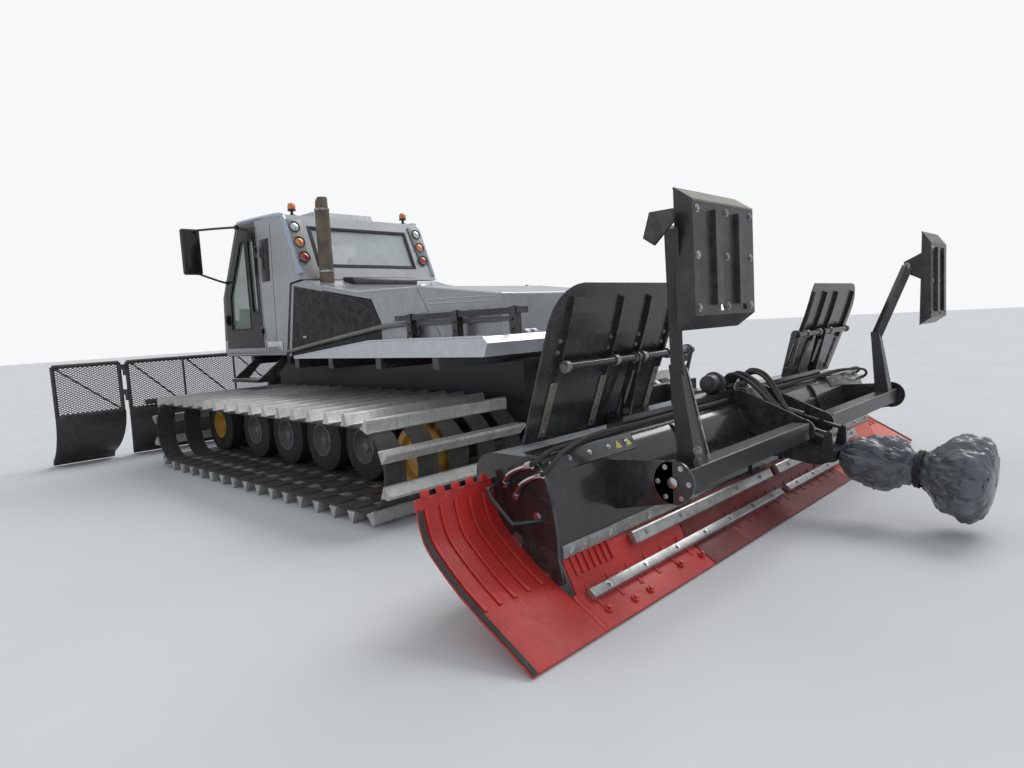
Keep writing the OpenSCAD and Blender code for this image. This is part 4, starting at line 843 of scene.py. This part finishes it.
def on_mat(line, s, h):
    """Point beside a line, from millimetres along it and away from it."""
    a, b = Vector(line[0]), Vector(line[1])
    u = (b - a).normalized()
    return tuple(a + u * (s / 1000) + Vector((u.y, -u.x)) * (h / 1000))


slope, flat = (MAT_LINE[0], MAT_LINE[2]), xz((-1888, 126), (-2075, 16))
rails, rail_bolts = [], []
for line, section, rail_end, head, first, step, count, out in (
        (flat, ((6, 2), (62, 2), (62, 34), (55, 40), (16, 44), (10, 39)), 2.34, (36, 42), 0.22, 0.33, 7,
         (-0.5, 0, 0.86)),
        (slope, ((14, 2), (88, 2), (88, 38), (80, 44), (26, 44), (18, 38)), 1.85, (51, 44), 0.25, 0.37, 5,
         (-0.88, 0, 0.47))):
    rails.append(side_plate([on_mat(line, *p) for p in section], 0.06, rail_end, 0.0015))
    x, z = on_mat(line, *head)
    rail_bolts += bolts([(x, first + k * step, z) for k in range(count)], out, 0.011)
paired("mat_rails", rails, rail_alu, "tiller", "rail_aluminium", "finisher_rails")
paired("rail_bolts", rail_bolts, worn_steel, "tiller", "bright_steel")

# Two plain yellow triangles on the sloping face of the left channel
channel_top, channel_down = Vector(at(-1690, 0, 800)), Vector((-0.498, 0, -0.867))
channel_out = Vector((-0.867, 0, 0.498))
patches = [plate([(y - 0.028, 0.074), (y + 0.028, 0.074), (y, 0.026)],
                 lambda u, v: channel_top + channel_down * v + Vector((0, u, 0)), channel_out * 0.001)
           for y in (1.66, 1.76)]
single("channel_patches", patches, patch_yellow, "tiller", "amber_lens")

# Tied sheet over the coupling: a spun outline, folded round the tie, then crumpled
SHEET_START, TIE_AT, SHEET_TILT = Vector(at(-2334, 0, 430)), 0.475, math.radians(5.7)
SHEET_WAY = Vector((-math.cos(SHEET_TILT), 0, -math.sin(SHEET_TILT)))
SHEET_SIDE = SHEET_WAY.orthogonal().normalized()
SHEET_UP = SHEET_WAY.cross(SHEET_SIDE)
sheet = turned([(0.0, 0.0), (0.0, 0.108), (0.012, 0.118), (0.06, 0.150), (0.12, 0.182), (0.20, 0.204),
                (0.28, 0.212), (0.34, 0.196), (0.39, 0.163), (0.43, 0.132), (0.455, 0.112), (0.475, 0.108),
                (0.49, 0.115), (0.52, 0.150), (0.56, 0.195), (0.60, 0.238), (0.66, 0.281), (0.72, 0.297),
                (0.78, 0.300), (0.83, 0.268), (0.86, 0.225), (0.875, 0.16), (0.882, 0.07), (0.884, 0.0)],
               SHEET_START, SHEET_WAY, 72)


def from_middle(p):
    """How far along the bundle's middle line a point is, and the way out to it."""
    d = p - SHEET_START
    s = d.dot(SHEET_WAY)
    return s, d - SHEET_WAY * s


def crease(p, scale):
    """Depth of a crumpled sheet at a place: ridges where two dents meet, 0 at their middles."""
    near = noise_of.voronoi(p * scale)[0]
    return min(1.0, 1.6 * near[0]) - 0.5 * min(1.0, 3.0 * (near[1] - near[0]))


for v in sheet.data.vertices:
    s, r = from_middle(v.co)
    if r.length > 0.02:
        a = math.atan2(r.dot(SHEET_UP), r.dot(SHEET_SIDE))
        near_tie = math.exp(-((s - TIE_AT) / 0.12) ** 2)
        fold = 0.035 * near_tie * math.sin(13 * a + 0.7) + 0.02 * math.sin(5 * a + 9 * s) * (1 - near_tie)
        fold += 0.012 * math.sin(9 * a - 14 * s + 1.3) + 0.006 * math.sin(23 * a + 21 * s)
        v.co = SHEET_START + SHEET_WAY * s + r * (1 - 0.03 + min(fold, 0.028))
only(sheet)
rounder = sheet.modifiers.new("round", "SUBSURF")
rounder.levels = 2
rounder.render_levels = 2
bpy.ops.object.modifier_apply(modifier="round")
for v in sheet.data.vertices:
    s, r = from_middle(v.co)
    if r.length > 0.03:
        p = Vector((s * 0.8, r.dot(SHEET_SIDE), r.dot(SHEET_UP)))
        dent = 0.030 * crease(p, 6.5) + 0.013 * crease(p + Vector((3, 1, 2)), 15.0) + 0.006 * crease(p, 34.0)
        v.co -= r.normalized() * dent
sheet.name = "tied_sheet"
dress(sheet, bag_sheet, "tiller", "cover_sheet", "coupling_cover")


def hoop(s, r, thick, a, axis, steps):
    """Ring of round section, spun round the axis through a."""
    turns = [k * math.pi / 4 for k in range(8)]
    return turned([(s + thick * math.cos(t), r + thick * math.sin(t)) for t in turns], a, axis, steps)


tie = [hoop(s, r, thick, SHEET_START, SHEET_WAY, 40) for s, r,
       thick in ((0.468, 0.112, 0.011), (0.486, 0.116, 0.009))]
single("sheet_tie", tie, rubber, "tiller", "rubber")

# Hoses and valve in the tiller's middle
bundle, collars = [], []
for k in range(6):
    y, rise, odd = 40 + 34 * k, 60 + 14 * (k % 3), k % 2
    bundle.append(hose(way((-1560, y, 880 + 6 * odd), (-1600, y + 6, 910 + rise),
                           (-1680, y + 20, 930 + rise), (-1790, y + 30 - 18 * odd, 900 + rise * 0.6),
                           (-1880, y * 0.7, 780 + 8 * k), (-1960, y * 0.5, 700 - 6 * k),
                           (-2090, y * 0.4 + 6, 600 + 8 * (k % 3)), (-2240, y * 0.3, 545)),
                           0.0125 if odd else 0.015, 12, 8))
    collars += [rod(at(-1548, y, 879), at(-1566, y, 904), 0.021, 6),
                rod(at(-1566, y, 900), at(-1580, y + 2, 922), 0.017, 14)]
bundle += [again(b, MIRROR) for b in bundle[1:4]]
single("coupling_hoses", bundle, rubber, "tiller", "rubber")
paired("hose_collars", collars, worn_steel, "tiller", "bright_steel")
valve = [turned([(0.0, 0.0), (0.0, 0.062), (0.012, 0.066), (0.05, 0.066), (0.056, 0.082), (0.076, 0.082),
                 (0.082, 0.066), (0.16, 0.064), (0.168, 0.05), (0.168, 0.0)],
                at(-1590, 300, 950), ALONG_Y, 28),
         block(at(-1650, 300, 880), at(-1535, 380, 905), 0.004),
         block(at(-1625, 372, 900), at(-1560, 440, 925), 0.004)]
single("tiller_valve", valve, black_satin, "tiller", "black_steel")

# Snow flaps, with their shafts at SHAFT_X, SHAFT_Z
SHAFT_X, SHAFT_Z, FLAP_OUT = -1690, 1225, (-0.93, 0, -0.36)


def flap_x(z, out=0.0):
    """Where a snow flap's rear face, or a face behind it, is at a height."""
    return -1.476 + SHIFT - 0.3805 * (z - 0.815) - out


flap_bolts, flap_strips = [], []
for y in (1.15, 1.43, 1.71, 2.15):
    outline = [(flap_x(0.84, 0.002), 0.84), (flap_x(1.14, 0.002), 1.14), (flap_x(1.14, 0.009), 1.14),
               (flap_x(0.84, 0.009), 0.84)]
    flap_strips.append(side_plate(outline, y - 0.028, y + 0.028, 0.0015))
    flap_bolts += bolts([(flap_x(z, 0.009), y, z) for z in (0.87, 0.95, 1.03, 1.11)], FLAP_OUT, 0.010)
    flap_bolts += bolts([(flap_x(z, 0.001), y + 0.028, z) for z in (1.30, 1.36)], FLAP_OUT, 0.009)
    flap_bolts.append(turned([(-0.016, 0.0225), (-0.016, 0.031), (-0.012, 0.033), (0.012, 0.033),
                              (0.016, 0.031), (0.016, 0.0225)], at(SHAFT_X, y * 1000, SHAFT_Z), ALONG_Y, 24))
left_and_right(joined("left_flap_strips", flap_strips), batten_pale, "left_snow_flap", "black_steel",
               rename=False)
left_and_right(joined("left_flap_bolts", flap_bolts), worn_steel, "left_snow_flap", "bright_steel",
               rename=False)
nuts = [rod(at(SHAFT_X, 2168, SHAFT_Z), at(SHAFT_X, 2158, SHAFT_Z), 0.018)]
for y in (924, 1524):
    nuts += [rod(at(SHAFT_X, y - 8, SHAFT_Z), at(SHAFT_X, y + 2, SHAFT_Z), 0.034, 6),
             bolt(at(-1612, y - 8, 905), ALONG_Y, 0.014)]
paired("flap_stand_nuts", nuts, worn_steel, "tiller", "bright_steel")

# Pan fittings of the left and right track setter
lip = side_plate(xz((-2203, 2071), (-2302, 2003), (-2302, 1992), (-2203, 2060)), 1.252, 1.898, 0.001)
dress(joined("left_pan_lip", [lip]), batten_pale, "left_track_setter", "black_steel")
left_bolts = bolts([at(-2300, y, z) for y in (1290, 1560, 1860) for z in (1490, 1740, 1960)],
                   REARWARD, 0.013)
left_bolts += bolts(way((-2205, 1755, 700), (-2205, 1755, 760)), ALONG_Y, 0.016)
single("left_setter_bolts", left_bolts, worn_steel, "left_track_setter", "bright_steel")
right_bolts = bolts([at(-2460, -y, z) for y in (1975, 2215, 2455) for z in (1350, 1620, 1900)],
                    REARWARD, 0.013)
right_bolts.append(rod(at(-2280, -1890, 1760), at(-2280, -1975, 1760), 0.03, 18, bevel=0.003))
single("right_setter_bolts", right_bolts, worn_steel, "right_track_setter", "bright_steel")
edge = [rod(at(-2204, 1626, 700), at(-2118, 1679, 1180), 0.004, 6),
        block(at(-2206, 240, 671), at(-2199, 1870, 676), 0.001)]
left_and_right(joined("setter_edge", edge), worn_steel, "left_track_setter", "bright_steel", rename=False)


# Cab: trim of the doors, tubes along the roof's edge
def window_frame(outline, width):
    """Rubber strip round a door's pane: the outline with a smaller copy of it cut out."""
    cx, cz = (sum(p[k] for p in outline) / len(outline) for k in (0, 1))
    inner = []
    for x, z in outline:
        part = width / max(0.05, math.hypot(cx - x, cz - z))
        inner.append((x + (cx - x) * part, z + (cz - z) * part))
    return ring_plate(outline, inner, 0.976, 0.984)


trim = [window_frame(xz((4330, 1560), (4900, 1560), (4870, 2000), (4440, 2670), (4330, 2665)), 0.022),
        window_frame(xz((4100, 1760), (4250, 1760), (4250, 2665), (4100, 2660)), 0.018),
        side_plate(xz((4952, 1620), (4998, 1620), (4998, 1780), (4952, 1780)), 0.978, 0.985, 0.002),
        hose(way((4975, 982, 1640), (4975, 1006, 1650), (4975, 1012, 1700), (4975, 1006, 1750),
                 (4975, 982, 1760)), 0.010, 12)]
left_and_right(joined("left_door_trim", trim), rubber, "left_cab_door", "rubber", rename=False)
roof_tube = hose(way((4478, 958, 2892), (4200, 962, 2884), (3700, 964, 2862), (3380, 962, 2848),
                     (3338, 958, 2815), (3250, 955, 2600), (3130, 955, 2310), (3060, 955, 2140)),
                 0.030, 16, 8)
# The tubes' bluish colour is a painted sky reflection on silver paint.
paired("roof_edge_tubes", [roof_tube], cab_tube_sky_reflection, "machine", "silver_paint")

# Rear face of the cab, which leans by LEAN_X over LEAN_Z: pillar plates and round lamps
LEAN_X, LEAN_Z = 300.0, 760.0
REAR_OUT, REAR_DOWN = Vector((-LEAN_Z, 0, LEAN_X)).normalized(), Vector((-LEAN_X, 0, -LEAN_Z)).normalized()


def on_rear(y, z, out):
    """Point on the cab's rear face, or outside it, from millimetres across and up."""
    return Vector(at(3030 + (z - 2080) * LEAN_X / LEAN_Z, y, z)) + REAR_OUT * out


pillars, rings, lenses = [], [], {"clear": [], "amber": [], "red": []}
for side in (1, -1):
    pillar_top = on_rear(side * 955, 2780, 0.001)
    pillars.append(plate([(0.0, 0.0), (0.19, 0.0), (0.15, 0.52), (0.0, 0.52)],
                         lambda u, v: pillar_top + REAR_DOWN * v + Vector((0, -side * u, 0)),
                         REAR_OUT * 0.016, 0.004))
    for y, z, kind in ((875, 2690, "clear"), (865, 2510, "amber"), (855, 2335, "red")):
        c = on_rear(side * y, z, 0.016)
        rings.append(turned([(0.0, 0.052), (0.0, 0.066), (0.010, 0.068), (0.016, 0.064), (0.014, 0.054),
                             (0.004, 0.050)], c, REAR_OUT, 36))
        lenses[kind].append(turned([(0.0, 0.0), (0.0, 0.050), (0.006, 0.050), (0.012, 0.040), (0.015, 0.022),
                                    (0.016, 0.0)], c, REAR_OUT, 36))
single("pillar_plates", pillars, pipe_grey, "machine", "silver_paint")
single("lamp_rings", rings, black_satin, "machine", "black_steel", "lamps")
for kind, finish in (("clear", lens_clear), ("amber", lens_amber), ("red", lens_red)):
    single("rear_lamps_" + kind, lenses[kind], finish, "machine", "lamp_lens", "lamps")

# Roof lamps in their round housings, and the beacons on their stalks
shells, fronts, domes, stalks = [], [], [], []
for y in (-620, -320, 320, 620):
    c = at(4440, y, 2962)
    shells += [turned([(0.0, 0.0), (0.0, 0.030), (0.020, 0.054), (0.060, 0.062), (0.090, 0.062),
                       (0.090, 0.055), (0.078, 0.052), (0.078, 0.0)], c, ALONG_X, 32),
               rod(at(4480, y, 2899), at(4480, y, 2906), 0.02, 14)]
    fronts.append(turned([(0.079, 0.0), (0.079, 0.052), (0.084, 0.052), (0.088, 0.03), (0.089, 0.0)],
                         c, ALONG_X, 32))
for y in (800, -800):
    c = at(3420, y, 2845)
    stalks.append(turned([(0.0, 0.0), (0.0, 0.040), (0.012, 0.042), (0.018, 0.018), (0.055, 0.016),
                          (0.058, 0.046), (0.074, 0.048), (0.078, 0.0)], c, ALONG_Z, 28))
    domes.append(turned([(0.078, 0.0), (0.078, 0.044), (0.100, 0.046), (0.128, 0.042), (0.145, 0.028),
                         (0.150, 0.0)], c, ALONG_Z, 28))
single("roof_lamp_shells", shells, cab_plastic, "machine", "cab_plastic", "lamps")
single("roof_lamp_fronts", fronts, lens_clear, "machine", "glass", "lamps")
single("beacon_stalks", stalks, black_satin, "machine", "black_steel", "beacons")
single("beacon_domes", domes, lens_amber, "machine", "amber_lens", "beacons")

# Mirrors: ribbed rounded housings on two arms
mirrors = [block(at(4866, 1290, 2290), at(4936, 1520, 2860), 0.026, 4)]
mirrors += [block(at(4930, 1312, 2350 + k * 56), at(4938, 1498, 2372 + k * 56), 0.003) for k in range(9)]
upper_arm = way((4500, 984, 2850), (4520, 1050, 2850), (4860, 1380, 2838), (4895, 1400, 2830))
lower_arm = way((4920, 984, 2190), (4920, 1060, 2200), (4908, 1370, 2318), (4900, 1400, 2325))
mirrors += [hose(upper_arm, 0.014, 12), hose(lower_arm, 0.014, 12),
            block(at(4478, 980.5, 2822), at(4524, 1002, 2878), 0.004),
            block(at(4898, 980.5, 2168), at(4940, 998, 2212), 0.004),
            rod(at(4900, 1400, 2820), at(4900, 1400, 2852), 0.024),
            rod(at(4900, 1400, 2300), at(4900, 1400, 2332), 0.024)]
paired("mirror_housings", mirrors, cab_plastic, "machine", "cab_plastic", "mirrors")
# The mirror glass is given a dark colour: painted reflection.
mirror_face = block(at(4862, 1306, 2310), at(4867, 1504, 2840), 0.002)
paired("mirror_faces", [mirror_face], mirror_painted_dark_reflection, "machine", "glass", "mirrors")

# Rear window's dark frame
frame_line, inner_line = [[(-y, low), (y, low), (y, high), (-y, high)]
                          for y, low, high in ((710, 2225, 2715), (665, 2262, 2678))]
frame_bars = []
for k in range(4):
    after = (k + 1) % 4
    quad = [frame_line[k], frame_line[after], inner_line[after], inner_line[k]]
    frame_bars.append(plate(quad, lambda u, v: on_rear(u, v, -0.010), REAR_OUT * 0.016, 0.002))
single("rear_window_frame", frame_bars, rubber, "machine", "rubber")

# Exhaust stack with its clamps and a slanted mouth
STACK_FOOT, MOUTH_Z = at(2932, 700, 1852), 2.96
stack = turned([(0.0, 0.0), (0.0, 0.076), (0.02, 0.079), (0.99, 0.079), (1.0, 0.070), (1.13, 0.068),
                (1.13, 0.060), (0.98, 0.060), (0.98, 0.0)], STACK_FOOT, ALONG_Z, 40)
for v in stack.data.vertices:
    if v.co.z > MOUTH_Z:
        v.co.z -= max(0.0, (v.co.x - STACK_FOOT[0]) * 0.9 + 0.03)
single("exhaust_stack", [stack], exhaust_steel, "machine", "exhaust_steel", "exhaust")
clamps = [turned([(z, 0.0795), (z, 0.0845), (z + 0.022, 0.0845), (z + 0.022, 0.0795)],
                 STACK_FOOT, ALONG_Z, 36) for z in (0.30, 0.985)]
clamps.append(rod(at(2860, 770, 2845), at(2830, 800, 2845), 0.009, 8))
single("exhaust_clamps", clamps, worn_steel, "machine", "bright_steel")

# Seams, side panes, step plates and bolts on the cab's sides
seams = [side_plate(xz((3985, 1300), (3991, 1300), (3991, 2800), (3985, 2800)), 0.9795, 0.9815),
         side_plate(xz((3700, 1300), (3705, 1300), (3640, 2790), (3635, 2790)), 0.9795, 0.9815)]
paired("cab_seams", seams, rubber, "machine", "rubber")
side_pane = side_plate(xz((3740, 2120), (3940, 2120), (3940, 2620), (3700, 2620)), 0.979, 0.983, 0.002)
paired("cab_side_panes", [side_pane], door_black, "machine", "glass")
paired("cab_side_plates", [block(at(3560, 981, 1290), at(3930, 986, 1400), 0.002)], bright_steel, "machine",
       "bright_steel")
cab_bolts = bolts([at(x, 980, z) for x in (3580, 3740, 3900) for z in (1275, 1425)], ALONG_Y, 0.008, 0.006)
cab_bolts += bolts(way((4023, 996, 1570), (4023, 996, 2550)), ALONG_Z, 0.010)
paired("cab_bolts", cab_bolts, worn_steel, "machine", "bright_steel")

# Steering wheel, levers and screen inside
STEERING = at(4690, 400, 1960)
controls = [hoop(0.0, 0.19, 0.012, STEERING, (0.55, 0, 0.83), 32),
            rod(at(4800, 400, 1800), at(4692, 400, 1958), 0.02, 12)]
for a in (0.5, 2.6, 4.7):
    spoke = Vector((-0.83 * math.cos(a), math.sin(a), 0.55 * math.cos(a)))
    controls.append(rod(STEERING, Vector(STEERING) + spoke * 0.18, 0.010, 8))
controls += [block(at(4700, 120, 1880), at(4730, 380, 2060), 0.006),
             rod(at(4780, 250, 1820), at(4725, 250, 1950), 0.014, 10),
             rod(at(4050, 120, 1680), at(4080, 120, 1900), 0.012, 10),
             rod(at(4080, 120, 1895), at(4084, 120, 1950), 0.024, 14, bevel=0.006)]
single("cab_controls", controls, cab_plastic, "machine", "cab_plastic")


# Hood, rear cover and deck
def plan_half(x):
    """Half width of the hood at a place along it, both in millimetres."""
    if x > 1900:
        return 850 + (x - 1900) * 125 / 1540
    return 800 + (x - 60) * 50 / 1840


def hood_top(x):
    """Height of the hood's top at a place along it, both in millimetres."""
    pts = [(84, 1720), (1100, 1855), (2100, 1875), (2700, 1985), (3010, 2068), (3270, 2045)]
    for (x0, z0), (x1, z1) in zip(pts, pts[1:]):
        if x0 <= x <= x1:
            return z0 + (z1 - z0) * (x - x0) / (x1 - x0)
    return pts[-1][1]


def on_side(out, *places):
    """Points given as (x, z) in millimetres, at a distance from the hood's side."""
    return [at(x, plan_half(x) + out, z) for x, z in places]


pipes = [hose(way((3405, 993, 1276), (2900, 965, 1345), (2300, 915, 1425), (1700, 878, 1499),
                  (1500, 866, 1508), (900, 850, 1507), (300, 838, 1505), (-120, 830, 1503)), 0.024, 16, 8)]
for x, y, z in ((3200, 983, 1304), (2500, 931, 1399), (1750, 881, 1493), (800, 848, 1507), (120, 834, 1504)):
    pipes.append(rod(at(x, plan_half(x) - 1, z), at(x, y, z), 0.014, 10))
paired("side_pipes", pipes, pipe_grey, "machine", "silver_paint")
# Painted highlights: thin rods in lighter silver along the hood's top edges.
hood_edge_highlights = [rod(*on_side(-6, (x0, hood_top(x0) - 5), (x1, hood_top(x1) - 5)), 0.010, 12)
              for x0, x1 in ((1180, 2100), (2100, 2690))]
paired("hood_edge_highlights", hood_edge_highlights, silver_painted_highlight, "machine", "silver_paint")
# Painted highlights: thin lines and a rod in lighter silver along the rear cover's creases and top edge.
cover_edge_highlights = both_sides([hose(way((140, 802.6, z), (500, 812.5, z + 14), (1040, 827.2, z + 20)),
                               0.0055, 8, 3) for z in (1700, 1660)]
                         + [rod(at(90, 793, 1714), at(1098, 822, 1848), 0.010, 12)])
cover_edge_highlights.append(rod(at(88, -795, 1716), at(88, 795, 1716), 0.009, 12))
single("rear_cover_edge_highlights", cover_edge_highlights, silver_painted_highlight, "engine_cover_lid", "silver_paint")

louvres = []
for x in range(1500, 1934, 62):
    top, next_top = hood_top(x), hood_top(x + 40)
    louvres.append(side_plate(xz((x, top + 1), (x + 40, next_top + 1), (x + 36, top + 15), (x + 4, top + 5)),
                              -0.34, 0.34, 0.002))
single("hood_louvres", louvres, silver, "machine", "silver_paint")
# Black plate under the louvres, dark between the slats: painted shade in the openings.
shade_plate_low, shade_plate_high = hood_top(1480) + 0.5, hood_top(1950) + 0.5
louvre_shade_plate = side_plate(xz((1480, shade_plate_low), (1950, shade_plate_high), (1950, shade_plate_high + 2), (1480, shade_plate_low + 2)),
                 -0.37, 0.37)
single("hood_louvre_shade_plate", [louvre_shade_plate], rubber, "machine", "rubber")
black_box = side_plate(xz((2760, hood_top(2760) + 1), (3000, hood_top(3000) + 1), (2990, 2108), (2790, 2085),
                          (2765, 2050)), -0.46, 0.46, 0.012)
single("hood_black_box", [black_box], black_satin, "machine", "black_steel")
latches = [block(at(1150, 728, 1855), at(1212, 772, 1866), 0.004),
           rod(at(1165, 724, 1866), at(1165, 776, 1866), 0.007, 10),
           block(at(1180, 740, 1864), at(1216, 760, 1874), 0.003),
           block(at(3060, plan_half(3060) - 1, 1420), at(3120, plan_half(3090) + 8, 1446), 0.003),
           rod(at(3075, plan_half(3075) + 4, 1433), at(3110, plan_half(3110) + 14, 1433), 0.008, 10)]
paired("hood_latches", latches, bright_steel, "machine", "bright_steel")
panel_lines = [hose(on_side(0.4, (2300, 1236), (2290, 1500), (2270, 1838)), 0.004, 6, 3),
               hose(on_side(1, (1765, 1530), (1898, 1768), (2500, 1880), (3225, 2015)), 0.007, 8, 4)]
paired("side_panel_lines", panel_lines, black_gloss, "machine", "black_paint")

# Fittings of the rails' posts, T handle, wire loop, deck's bolts, painted highlights along the deck's edges,
# step treads
knobs = [rod(at(1240, 870, 1376), at(1240, 870, 1462), 0.008, 10),
         rod(at(1240, 840, 1462), at(1240, 900, 1462), 0.010, 12)]
for x in (-165, 535, 1185):
    knobs += [rod(at(x, 905, 1594), at(x, 905, 1602), 0.022, 14, bevel=0.003)]
    knobs += bolts(way((x, 940.5, 1420), (x, 940.5, 1500)), ALONG_Y, 0.010)
paired("rail_fittings", knobs, black_satin, "machine", "black_steel")
wire = hose(way((1150, 868, 1378), (1090, 850, 1440), (1150, 840, 1490), (1230, 850, 1450),
                (1250, 866, 1380)),
            0.006, 8, 8)
paired("rail_wires", [wire], rubber, "machine", "rubber")
deck_bolts = bolts([at(x, y, 1375) for x in (-180, 180, 620, 1080) for y in (1300, 1000)], ALONG_Z, 0.011)
paired("deck_bolts_heads", deck_bolts, bright_steel, "machine", "bright_steel")
# Painted highlights: rods in lighter silver along the deck's edges.
deck_edge_highlights = [rod(at(1252, 1343, 1372), at(2632, 1343, 1240), 0.010, 12),
              rod(at(-235, 1343, 1371), at(1252, 1343, 1371), 0.010, 12)]
paired("deck_edge_highlights", deck_edge_highlights, silver_painted_highlight, "machine", "silver_paint")
treads = [block(at(3706, y, 964), at(4394, y + 12, 972), 0.002) for y in range(1095, 1222, 42)]
treads.append(block(at(3702, 1228, 965.3), at(4398, 1258, 969), 0.001))
paired("step_treads", treads, bright_steel, "machine", "bright_steel")

# Blade
BLADE_X, MOULD_Z, MOULD_R, MOULD_THICK = 5.64 + SHIFT, 0.64, 0.62, 0.016
EDGE_AHEAD, EDGE_TURN = 0.335, 3
HINGE_X, HINGE_Y, END_LEAN = 5.59 + SHIFT, 2.11, math.tan(math.radians(15))
FRAME_TOP, MESH_LOW, MESH_TOP, MESH_STEP, MESH_RISE = 1.246, 0.655, 1.232, 0.052, 0.55
BRACE_X, BAY = BLADE_X - 0.01, 4.128 / 6


def mould(y0, y1, cut0, cut1):
    """Curved steel face with its cutting edge; its ends lean back so that the wings can swing."""
    c = (BLADE_X + MOULD_R, MOULD_Z)
    turn_end = 180 + math.degrees(math.acos((MOULD_R - EDGE_AHEAD) / MOULD_R)) - EDGE_TURN
    face = side_plate(arc_points(c, MOULD_R + MOULD_THICK, 180, turn_end, 16)
                      + arc_points(c, MOULD_R, turn_end, 180, 16), y0, y1)
    edge = side_plate(xz((5975, 16), (6042, 16), (6012, 60), (5958, 110), (5940, 100)), y0, y1)
    o = joined("mould", [face, edge])
    mid = (y0 + y1) / 2
    for v in o.data.vertices:
        lean = max(0.0, v.co.x - HINGE_X) * END_LEAN
        if v.co.y > mid and cut1:
            v.co.y -= lean
        if v.co.y < mid and cut0:
            v.co.y += lean
    return softened(o, 0.002)


def mesh_frame(y0, y1):
    corners = [(BLADE_X, y, z) for y, z in ((y0, MOULD_Z), (y1, MOULD_Z), (y1, FRAME_TOP), (y0, FRAME_TOP))]
    return [rod(a, b, 0.024) for a, b in zip(corners, corners[1:] + corners[:1])]


def mesh_bars(y0, y1):
    """Expanded mesh as two layers of thin slanting strips."""
    pieces = []
    run = (MESH_TOP - MESH_LOW) / MESH_RISE
    for k in range(int((y1 - y0 + run) / MESH_STEP)):
        s = y0 - run + k * MESH_STEP
        a, b = max(y0, s), min(y1, s + run)
        if b - a < 0.01:
            continue
        for x, z, rise in ((BLADE_X + 0.002, MESH_LOW, MESH_RISE), (BLADE_X - 0.002, MESH_TOP, -MESH_RISE)):
            pieces.append(rod((x, a, z + (a - s) * rise), (x, b, z + (b - s) * rise), 0.0042, 4))
    return pieces


def knuckles(way_out, heights):
    """Hinge leaves round the wing's pin: way_out is -1 on the blade and 1 on the wing."""
    leaf = [(HINGE_X + a, HINGE_Y + way_out * b) for a, b in (
        (-0.018, 0.012), (0.0, 0.022), (0.026, 0.054), (0.060, 0.054), (0.050, 0.030), (0.012, -0.014))]
    pieces = []
    for z in heights:
        pieces += [level_plate(leaf, z, z + 0.07, 0.001),
                   rod((HINGE_X, HINGE_Y, z), (HINGE_X, HINGE_Y, z + 0.07), 0.022, 20)]
    return pieces


bays = [-2.064 + k * BAY for k in range(6)]
middle = [mould(-2.1, 2.1, True, True)] + mesh_frame(-2.064, 2.064)
middle += [rod((BRACE_X, y, MOULD_Z), (BRACE_X, y, FRAME_TOP), 0.014, 10) for y in bays[1:]]
middle += [rod((BRACE_X, y + 0.03, MOULD_Z), (BRACE_X, y + 0.658, FRAME_TOP), 0.011, 8) for y in bays]
middle += [turned([(0.0, 0.0303), (0.0, 0.056), (0.004, 0.058), (0.205, 0.058), (0.209, 0.056),
                   (0.209, 0.0303)],
                  at(5520, 0, 540.5), ALONG_Z, 32), block(at(5565, -58, 541), at(5642, 58, 749), 0.003)]
middle += both_sides([block(at(5580, 50, 676), at(5642, 1900, 740), 0.004),
                      block(at(5544, 960, 588), at(5646, 1040, 604), 0.003),
                      block(at(5544, 960, 654), at(5646, 1040, 670), 0.003)] + knuckles(-1, (0.76, 1.08)))
single("blade_panel", middle, black_satin, "blade", "black_steel", "blade_middle")
single("blade_mesh", mesh_bars(-2.05, 2.05), black_satin, "blade", "black_steel", "blade_middle")
wing = [mould(2.12, 2.9, True, False), rod((BRACE_X, 2.18, 0.66), (BRACE_X, 2.86, 1.23), 0.011, 8)]
wing += mesh_frame(2.156, 2.876) + knuckles(1, (0.8303, 1.1503))
left_and_right(joined("left_wing_panel", wing), black_satin, "left_blade_wing", "black_steel", ["left_wing"],
               rename=False)
left_and_right(joined("left_wing_mesh", mesh_bars(2.17, 2.862)), black_satin, "left_blade_wing",
               "black_steel", ["left_wing"], rename=False)
edge_bolts = bolts([at(5992, y, 78) for y in range(-1950, 2000, 300)], (0.8, 0, 0.6), 0.012)
single("blade_edge_bolts", edge_bolts, worn_steel, "blade", "bright_steel")
